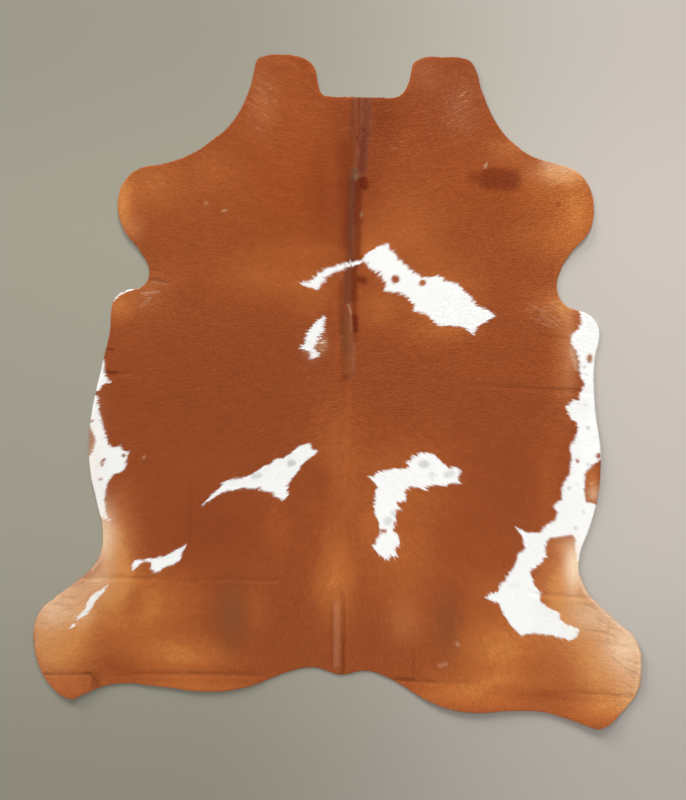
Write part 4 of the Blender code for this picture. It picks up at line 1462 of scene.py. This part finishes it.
def build_lock_tree():
    tree, given, result = start_lock_tree()
    seed = given["Seed"]
    density = math_of(tree, "DIVIDE", 1.0, math_of(tree, "POWER", given["Spacing"], 2.0))
    scatter = add_node(
        tree, "GeometryNodeDistributePointsOnFaces", {"distribute_method": "POISSON"}, Seed=seed,
        Mesh=given["Ground"], Distance_Min=given["Spacing"],
        Density_Max=times(tree, density, EXTRA_TRIES),
    )
    place = add_node(tree, "GeometryNodeInputPosition").outputs[0]
    rooted = with_attribute(tree, scatter.outputs["Points"], "root", "FLOAT_VECTOR", place)
    shaded = with_attribute(tree, rooted, "shade", "FLOAT", random_value(tree, 0.0, 1.0, seed, 1))
    lies_along = add_node(
        tree, "FunctionNodeAxesToRotation", {"primary_axis": "Z", "secondary_axis": "X"},
        Primary_Axis=scatter.outputs["Normal"],
        Secondary_Axis=named_field(tree, "flow", "FLOAT_VECTOR"),
    )
    stray = {}
    for offset, limit in ((2, "Stray turn"), (3, "Stray roll")):
        stray[limit] = random_value(tree, times(tree, given[limit], -1.0), given[limit], seed, offset)
    angles = add_node(tree, "ShaderNodeCombineXYZ", None, X=stray["Stray roll"], Z=stray["Stray turn"])
    turn_by = add_node(tree, "FunctionNodeEulerToRotation", None, i0=angles.outputs[0]).outputs[0]
    turned = add_node(tree, "FunctionNodeRotateRotation", {"rotation_space": "LOCAL"},
                      Rotation=lies_along.outputs[0], Rotate_By=turn_by)
    length, roll_share = (named_field(tree, name, "FLOAT") for name in ("lock_length", "lock_roll"))
    size = add_node(
        tree, "ShaderNodeCombineXYZ", None,
        X=times(tree, length, random_value(tree, *LENGTHS, seed, 4)),
        Y=times(tree, given["Width"], random_value(tree, *WIDTHS, seed, 5)),
        Z=times(tree, roll_share, random_value(tree, *LOFTS, seed, 6), given["Loft"]),
    )
    placed = add_node(tree, "GeometryNodeInstanceOnPoints", None, Points=shaded,
                      Instance=blade(tree), Rotation=turned.outputs[0], Scale=size.outputs[0])
    real = add_node(tree, "GeometryNodeRealizeInstances", None, Geometry=placed.outputs[0])
    finished = add_node(tree, "GeometryNodeSetMaterial", None, Geometry=real.outputs[0],
                        Material=given["Finish"])
    tree.links.new(finished.outputs[0], result[0])
    return tree


lock_tree = build_lock_tree()
print("The lock tree has", len(lock_tree.nodes), "nodes")

# %% [markdown]
# ## Finish of the coat
#
# One material dresses the hair side and the locks. It reads the shares that were stored on the points
# and mixes the hair's colours by them: a ramp from dark red-brown over cognac and amber to gold, then
# russet, cream, smoke, the purple-grey of the backbone, dark red, green-grey, the painted shade of the
# folds and creases, and white last. Each lock is a little lighter or darker than the next, darker at its
# root with painted shade where the locks before it cover it, and shines softly. The colours were tuned
# until spots of the render measured much like the same spots of the photograph.


# %% Colours, tuned against the photograph
def linear(value):
    value /= 255.0
    return value / 12.92 if value <= 0.04045 else ((value + 0.055) / 1.055) ** 2.4


def srgb(red, green, blue):
    """A colour as it is read on a screen, from 0 to 255, as the shader wants it."""
    return (linear(red), linear(green), linear(blue), 1.0)


LOCKS_LET_THROUGH = 0.885
HAIR_GLOSS = 0.006
DARKEST_DYE, LIGHTEST_DYE = 0.002, 0.98


def dye(red, green, blue):
    """The dye of hair that looks like this: locks shade each other, and shine adds a little white."""
    lit = [(linear(value) - HAIR_GLOSS) / LOCKS_LET_THROUGH for value in (red, green, blue)]
    return tuple(min(max(value, DARKEST_DYE), LIGHTEST_DYE) for value in lit) + (1.0,)


HAIR_COLOURS = {
    "dark red-brown": dye(126, 60, 34),
    "cognac": dye(155, 79, 43),
    "amber": dye(184, 105, 54),
    "gold": dye(208, 135, 70),
    "cream": dye(240, 213, 180),
    "smoke": dye(126, 86, 56),
    "russet": dye(155, 70, 24),
    "green-grey": dye(104, 84, 60),
    "purple-grey": dye(122, 68, 50),
    "dark red": dye(98, 33, 13),
    # The colour of the painted shade in the folds and creases.
    "painted crease shade": dye(86, 38, 20),
    "white": (0.972, 0.970, 0.948, 1.0),
    "grey fleck": (0.42, 0.41, 0.38, 1.0),
}


# %% Helpers for the finishes
def new_finish(name):
    finish = bpy.data.materials.new(name)
    finish.use_nodes = True
    tree = finish.node_tree
    return finish, tree, tree.nodes["Principled BSDF"]


def share_of(tree, name):
    return add_node(tree, "ShaderNodeAttribute", {"attribute_name": name}).outputs["Fac"]


def mix_colour(tree, share, first, second):
    node = add_node(tree, "ShaderNodeMix", {"data_type": "RGBA"}, i0=share, i6=first, i7=second)
    return node.outputs[2]


def noise_at(tree, scale, detail=3.0, roughness=0.6):
    """Cloudy noise from 0 to 1, with a number of clouds in a metre along each axis."""
    place = add_node(tree, "ShaderNodeTexCoord").outputs["Object"]
    place = add_node(tree, "ShaderNodeMapping", None, Vector=place, Scale=scale).outputs[0]
    node = add_node(tree, "ShaderNodeTexNoise", None, Vector=place, Scale=1.0, Detail=detail,
                    Roughness=roughness)
    return node.outputs["Fac"]


def swing(tree, value, amount):
    """A value from 0 to 1 made one that swings by half the amount to either side of 0."""
    return scaled(tree, value, amount, -amount / 2)


# %% The coat's finish
MOTTLE, BLOTCH, STREAK, LOCK_VARIATION = 0.28, 0.24, 0.10, 0.20
MOTTLE_SCALE, BLOTCH_SCALE = (34.0, 46.0, 34.0), (8.0, 11.0, 8.0)
RAMP_STOPS = ((0.0, "dark red-brown"), (0.5, "cognac"), (0.84, "amber"), (1.0, "gold"))
TINTS = (
    # share,   colour, in the order in which they cover each other
    ("russet", "russet"), ("pale", "cream"), ("smoke", "smoke"), ("rose", "purple-grey"),
    ("red", "dark red"), ("green", "green-grey"), ("dark", "painted crease shade"),
)
CREAM_IN_WHITE = 0.5
# Painted shade at the root of each lock, where the locks before it cover it, and less of it in white
# hair.
ROOT_SHADE, ROOT_SHADE_ENDS, ROOT_SHADE_IN_WHITE = 0.20, 0.625, 0.2
ROOT_SHADOW_COLOUR = (0.02, 0.008, 0.004, 1.0)
SMOOTHEST, ROUGHEST = 0.46, 0.58
COAT_SPECULAR, SPECULAR_TINT = 0.10, (1.0, 0.80, 0.62, 1.0)


def coat_finish(name):
    finish, tree, shader = new_finish(name)
    ramp = add_node(tree, "ShaderNodeValToRGB")
    while len(ramp.color_ramp.elements) < len(RAMP_STOPS):
        ramp.color_ramp.elements.new(0.5)
    for stop, (place, colour) in zip(ramp.color_ramp.elements, RAMP_STOPS):
        stop.position, stop.color = place, HAIR_COLOURS[colour]
    uneven = swing(tree, noise_at(tree, MOTTLE_SCALE), MOTTLE)
    uneven = math_of(tree, "ADD", uneven, swing(tree, noise_at(tree, BLOTCH_SCALE), BLOTCH))
    uneven = math_of(tree, "ADD", uneven, swing(tree, share_of(tree, "shade"), LOCK_VARIATION))
    tone = scaled(tree, share_of(tree, "tone"), 0.5, 0.5)
    tone = scaled(tree, uneven, share_of(tree, "uneven"), tone)
    feed(tree, ramp, i0=scaled(tree, share_of(tree, "streak"), STREAK, tone))
    colour = ramp.outputs[0]
    for share, title in TINTS:
        colour = mix_colour(tree, share_of(tree, share), colour, HAIR_COLOURS[title])
    creamy = times(tree, share_of(tree, "pale"), CREAM_IN_WHITE)
    white = mix_colour(tree, creamy, HAIR_COLOURS["white"], HAIR_COLOURS["cream"])
    white = mix_colour(tree, share_of(tree, "fleck"), white, HAIR_COLOURS["grey fleck"])
    colour = mix_colour(tree, share_of(tree, "white"), colour, white)
    # Painted shade: each lock darkens towards its root.
    at_root = above_zero(tree, scaled(tree, share_of(tree, "along"), -1.0 / ROOT_SHADE_ENDS, 1.0))
    in_brown = scaled(tree, share_of(tree, "white"), ROOT_SHADE_IN_WHITE - 1.0, 1.0)
    colour = mix_colour(tree, times(tree, at_root, ROOT_SHADE, in_brown), colour, ROOT_SHADOW_COLOUR)
    roughness = scaled(tree, share_of(tree, "shade"), ROUGHEST - SMOOTHEST, SMOOTHEST)
    feed(tree, shader, Base_Color=colour, Roughness=roughness, Specular_IOR_Level=COAT_SPECULAR,
         Specular_Tint=SPECULAR_TINT)
    return finish


coat = coat_finish("coat_hair")
print("The coat's finish has", len(coat.node_tree.nodes), "nodes")

# %% [markdown]
# ## Finish of the underside and the cut edge
#
# The flesh side is suede: pale, dry and napped, with faint veins and darker patches where the tanner
# split the skin thicker. The cut edge shows the fibres of the skin in thin layers.

# %% Suede and cut edge
SUEDE_LIGHT, SUEDE_DARK = srgb(196, 176, 150), srgb(158, 132, 104)
EDGE_LIGHT, EDGE_DARK = srgb(214, 196, 170), srgb(150, 116, 84)
CLOUD_SCALE, NAP_SCALE, VEIN_SCALE = 5.0, 420.0, 9.0
CLOUD_GAIN, CLOUD_START, NAP_SHARE = 1.5, -0.35, 0.5
VEIN_STEEPNESS, VEIN_SHARE = 14.0, 0.18
NAP_RISE, NAP_STRENGTH = 0.6 * MM, 0.5
LAYER_SCALE = (60.0, 60.0, 1800.0)
LAYER_RISE, LAYER_STRENGTH = 0.3 * MM, 0.4
SUEDE_ROUGHNESS, SUEDE_SPECULAR, EDGE_ROUGHNESS = 0.95, 0.15, 0.85


def raised_by(tree, height, strength, distance):
    return add_node(tree, "ShaderNodeBump", None, Height=height, Strength=strength,
                    Distance=distance).outputs[0]


def suede_finish():
    finish, tree, shader = new_finish("flesh_side_suede")
    plain = add_node(tree, "ShaderNodeTexCoord").outputs["Object"]
    clouds = noise_at(tree, (CLOUD_SCALE,) * 3, detail=5.0)
    nap = noise_at(tree, (NAP_SCALE,) * 3, roughness=0.7)
    veins = add_node(tree, "ShaderNodeTexVoronoi", {"feature": "DISTANCE_TO_EDGE"}, Vector=plain,
                     Scale=VEIN_SCALE)
    vein = above_zero(tree, scaled(tree, veins.outputs["Distance"], -VEIN_STEEPNESS, 1.0))
    share = scaled(tree, vein, VEIN_SHARE, scaled(tree, clouds, CLOUD_GAIN, CLOUD_START))
    share = math_of(tree, "ADD", share, swing(tree, nap, NAP_SHARE))
    share = add_node(tree, "ShaderNodeClamp", None, Value=share).outputs[0]
    feed(tree, shader, Base_Color=mix_colour(tree, share, SUEDE_LIGHT, SUEDE_DARK),
         Normal=raised_by(tree, nap, NAP_STRENGTH, NAP_RISE), Roughness=SUEDE_ROUGHNESS,
         Specular_IOR_Level=SUEDE_SPECULAR)
    return finish


def edge_finish():
    finish, tree, shader = new_finish("cut_edge_fibres")
    layers = noise_at(tree, LAYER_SCALE)
    feed(tree, shader, Base_Color=mix_colour(tree, layers, EDGE_LIGHT, EDGE_DARK),
         Normal=raised_by(tree, layers, LAYER_STRENGTH, LAYER_RISE), Roughness=EDGE_ROUGHNESS)
    return finish


for finish in (coat, edge_finish(), suede_finish()):
    sheet_mesh.materials.append(finish)
print("Finishes on the sheet:", [slot.name for slot in sheet_mesh.materials])

# %% [markdown]
# ## Growing the coat
#
# Each ground object gets the tree as a modifier. Its inputs are set by their identifiers before it is
# first evaluated. The result becomes a plain mesh, and the ground goes. Each point of a lock is
# coloured by the zones and marks it lies on. Whether a lock is white is read once, near its middle,
# where the eye sees it, and its streak and painted glint once at its root, so a lock has them as a
# whole.
# The border of a patch frays, because neighbouring hairs don't agree where it is.

# %% Run the tree on each ground
FRAY_OF_LOCK, FRAY_OF_TUFT, TUFT_STEPS = 1.3 * MM, 5.6 * MM, 3
FRAY_CALMS_FROM, FRAY_CALMS_TO, FRAY_CALM = 0.36, 0.62, 0.66
TUFT_OFFSET = 0.37
BORDER_WAVE, BORDER_LENGTH, BORDER_LAYER = 1.6 * MM, 14.0 * MM, 1.3
MIDDLE_OF_LOCK = 0.45
FRAY_SEED = 5
SAME_ROOT_DIGITS = 6


def grown(ground, seed):
    """Runs the tree on a ground object, and leaves the locks in its place as a plain mesh."""
    modifier = ground.modifiers.new("locks", "NODES")
    modifier.node_group = lock_tree
    identifiers = {item.name: item.identifier for item in lock_tree.interface.items_tree}
    modifier[identifiers["Seed"]] = seed
    modifier[identifiers["Finish"]] = coat
    mesh = evaluated_mesh(ground)
    old = ground.data
    ground.modifiers.clear()
    ground.data = mesh
    mesh.name = ground.name
    bpy.data.meshes.remove(old)
    return mesh


def read_places(data, key):
    """The x and y of each point, or of a direction stored on it."""
    values = np.empty(len(data) * 3, dtype=np.float32)
    data.foreach_get(key, values)
    return values.reshape(-1, 3)[:, :2].astype(float)


def colour_locks(mesh):
    """Writes each point's shares, and returns the number of locks."""
    here = read_places(mesh.vertices, "co")
    root = read_places(mesh.attributes["root"].data, "vector")
    flow = read_places(mesh.attributes["flow"].data, "vector")
    roots = root.round(SAME_ROOT_DIGITS)
    _, first, back = np.unique(roots, axis=0, return_index=True, return_inverse=True)
    back = back.ravel()
    root, flow = root[first], flow[first]
    draw = np.random.default_rng(FRAY_SEED)
    wave = [noise.noise((x, y, BORDER_LAYER)) for x, y in root / BORDER_LENGTH]
    away = np.abs(root[:, 0] - spine_x(root[:, 1]))
    calm = 1.0 - FRAY_CALM * smooth_step(FRAY_CALMS_FROM, FRAY_CALMS_TO, away)
    fray = FRAY_OF_TUFT * grains_along(root + TUFT_OFFSET, TUFT_STEPS)
    fray = calm * (fray + FRAY_OF_LOCK * draw.standard_normal(len(root)))
    frayed = root + flow * LOCK_LENGTH * MIDDLE_OF_LOCK + flow * fray[:, None]
    shares = coat_marks(here, frayed[back], (calm * BORDER_WAVE * np.array(wave))[back])
    shares["streak"] = hair_streaks(root)[back]
    # The painted glints of single hairs draw the hair towards cream.
    shares["pale"] += (1.0 - shares["pale"]) * hair_glints(root)[back]
    shares["uneven"] = along_the_back(here, 3)
    write_on_points(mesh, shares)
    return len(root)


for seed, piece in enumerate(coats, start=FIRST_SEED):
    mesh = grown(piece, seed)
    count = colour_locks(mesh)
    triangles = sum(len(face.vertices) - 2 for face in mesh.polygons)
    print(piece.name, "has", count, "locks,", triangles, "triangles")

# %% [markdown]
# ## Flat maps for the colours
#
# The colours of each piece can be painted on a flat map. A hide is nearly flat already, so its map is
# the view from above. The hair side and the underside lie side by side on the sheet's map, with the thin
# cut edge unrolled outwards round the hair side. Each coat piece fills a map of its own.

# %% Write the maps
HAIR_MAP_SCALE, FLESH_MAP_SCALE = 0.330, 0.160
MAP_MARGIN = 0.008


def write_map(mesh, places):
    layer = mesh.uv_layers.new(name="OFBake")
    layer.data.foreach_set("uv", places.astype(np.float32).ravel())
    layer.active = layer.active_render = True


low = edge.min(0) - SKIN
wall_outer = np.zeros((len(sheet_points), 2))
wall_outer[:RING] = edge - edge_inward * SKIN
flat_places = sheet_points[corners.ravel()]
on_wall = np.repeat(sides == CUT_EDGE, 3)
at_bottom = corners.ravel() < RING
flat_places[on_wall & at_bottom] = wall_outer[corners.ravel()[on_wall & at_bottom]]
on_flesh = np.repeat(sides == FLESH_SIDE, 3)
map_places = MAP_MARGIN + (flat_places - low) * HAIR_MAP_SCALE
flesh_corner = MAP_MARGIN * 3 + HAIR_MAP_SCALE * (edge[:, 0].max() - low[0] + SKIN)
map_places[on_flesh] = (flat_places[on_flesh] - low) * FLESH_MAP_SCALE + (flesh_corner, MAP_MARGIN)
write_map(sheet_mesh, map_places)
for piece in coats:
    mesh = piece.data
    flat = read_places(mesh.vertices, "co")
    loops = np.empty(len(mesh.loops), dtype=np.int32)
    mesh.loops.foreach_get("vertex_index", loops)
    reach = (flat.max(0) - flat.min(0)).max()
    write_map(mesh, MAP_MARGIN + (flat[loops] - flat.min(0)) / reach * (1.0 - 2.0 * MAP_MARGIN))
print("The sheet's map reaches", map_places.max(0).round(3))

# %% [markdown]
# ## What the pieces are
#
# The sheet stands for the imported hide and rides on the model's one body. The coat belongs to it.

for piece in [hide_sheet] + coats:
    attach(piece, "root")
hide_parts("hide")
print("Declared", 1 + len(coats), "pieces")

# %% [markdown]
# ## The floor, the light and the camera
#
# The photograph looks straight down. The light is soft, and comes mostly from beyond the neck. A low,
# wide light from beyond its left flap draws the thin shadow along the right and rear edges. The floor
# is plain and pale, a little warmer on the left, with painted shade that makes it darker on the left and
# towards both ends along the hide. The camera stands high enough for the picture to show the hide
# without distortion.

# %% The floor
FLOOR_SIZE = 16.0
# The floor grows a little warmer and, with painted shade, darker towards the left.
FLOOR_LEFT, FLOOR_RIGHT = srgb(154, 150, 135), srgb(192, 184, 175)
FLOOR_MIDDLE_X, FLOOR_BLEND = 0.30, 1.6
# Painted shade: the floor darkens away from its middle, towards both ends along the hide.
FLOOR_FALLOFF_FROM, FLOOR_FALLOFF_TO, FLOOR_FALLOFF = 0.40, 1.30, 0.17
FLOOR_ROUGHNESS, FLOOR_SPECULAR = 0.9, 0.1
BLACK, WHITE = (0.0, 0.0, 0.0, 1.0), (1.0, 1.0, 1.0, 1.0)


def eased(tree, value, start, end, most=1.0):
    """0 up to start, and the most from end on, with an even slope between."""
    node = add_node(tree, "ShaderNodeMapRange", {"interpolation_type": "SMOOTHSTEP"}, Value=value,
                    From_Min=start, From_Max=end, To_Max=most)
    return node.outputs[0]


def floor_finish():
    finish, tree, shader = new_finish("plain_floor")
    place = add_node(tree, "ShaderNodeTexCoord").outputs["Object"]
    parts = add_node(tree, "ShaderNodeSeparateXYZ", None, i0=place).outputs
    left_end, right_end = FLOOR_MIDDLE_X - FLOOR_BLEND / 2, FLOOR_MIDDLE_X + FLOOR_BLEND / 2
    colour = mix_colour(tree, eased(tree, parts["X"], left_end, right_end), FLOOR_LEFT, FLOOR_RIGHT)
    from_middle = math_of(tree, "ABSOLUTE", parts["Y"])
    # Painted shade towards both ends of the floor.
    falls_off = eased(tree, from_middle, FLOOR_FALLOFF_FROM, FLOOR_FALLOFF_TO, FLOOR_FALLOFF)
    colour = mix_colour(tree, falls_off, colour, BLACK)
    feed(tree, shader, Base_Color=colour, Roughness=FLOOR_ROUGHNESS, Specular_IOR_Level=FLOOR_SPECULAR)
    return finish


bpy.ops.mesh.primitive_plane_add(size=FLOOR_SIZE)
floor = bpy.context.object
floor.name = floor.data.name = "floor"
floor.data.materials.append(floor_finish())
print("The floor is", FLOOR_SIZE, "m wide")

# %% The lights
SKY = 0.481
LIGHTS = (
    # light,     kind,      x,    y,    z,   size, strength: metres and watts, but for the sun the
    #                                        degrees it fills in the sky and watts a square metre
    ("key",      "AREA",   0.6,  5.2,  3.0,   2.2, 230.0),
    ("overhead", "AREA",   0.5,  0.6,  7.0,   5.0,  88.0),
    ("low",      "SUN",   -4.0,  5.0,  1.4,  16.0,   2.85),
)
world = bpy.data.worlds.new("soft_sky")
bpy.context.scene.world = world
world.use_nodes = True
feed(world.node_tree, world.node_tree.nodes["Background"], Color=WHITE, Strength=SKY)
for title, kind, x, y, z, size, strength in LIGHTS:
    data = bpy.data.lights.new(title, kind)
    data.energy = strength
    if kind == "AREA":
        data.shape, data.size = "DISK", size
    else:
        data.angle = math.radians(size)
    light = new_object(title, data)
    light.location = (x, y, z)
    light.rotation_euler = (-light.location).to_track_quat("-Z", "Y").to_euler()
    light.visible_camera = False
    light.visible_glossy = kind == "AREA"
bpy.context.scene.view_settings.view_transform = "Standard"
print(len(LIGHTS), "lights")

# %% The camera
PICTURE = (686, 800)
CAMERA_HEIGHT = 5.0
SENSOR = 36.0
camera_data = bpy.data.cameras.new("from_above")
camera_data.sensor_width = SENSOR
camera_data.lens = SENSOR * CAMERA_HEIGHT / (PICTURE[1] * PHOTO_SCALE)
camera = new_object("from_above", camera_data)
camera.location = (*on_floor(PICTURE[0] / 2, PICTURE[1] / 2), CAMERA_HEIGHT)
bpy.context.scene.camera = camera
print("Lens", round(camera_data.lens, 1), "mm at", CAMERA_HEIGHT, "m")
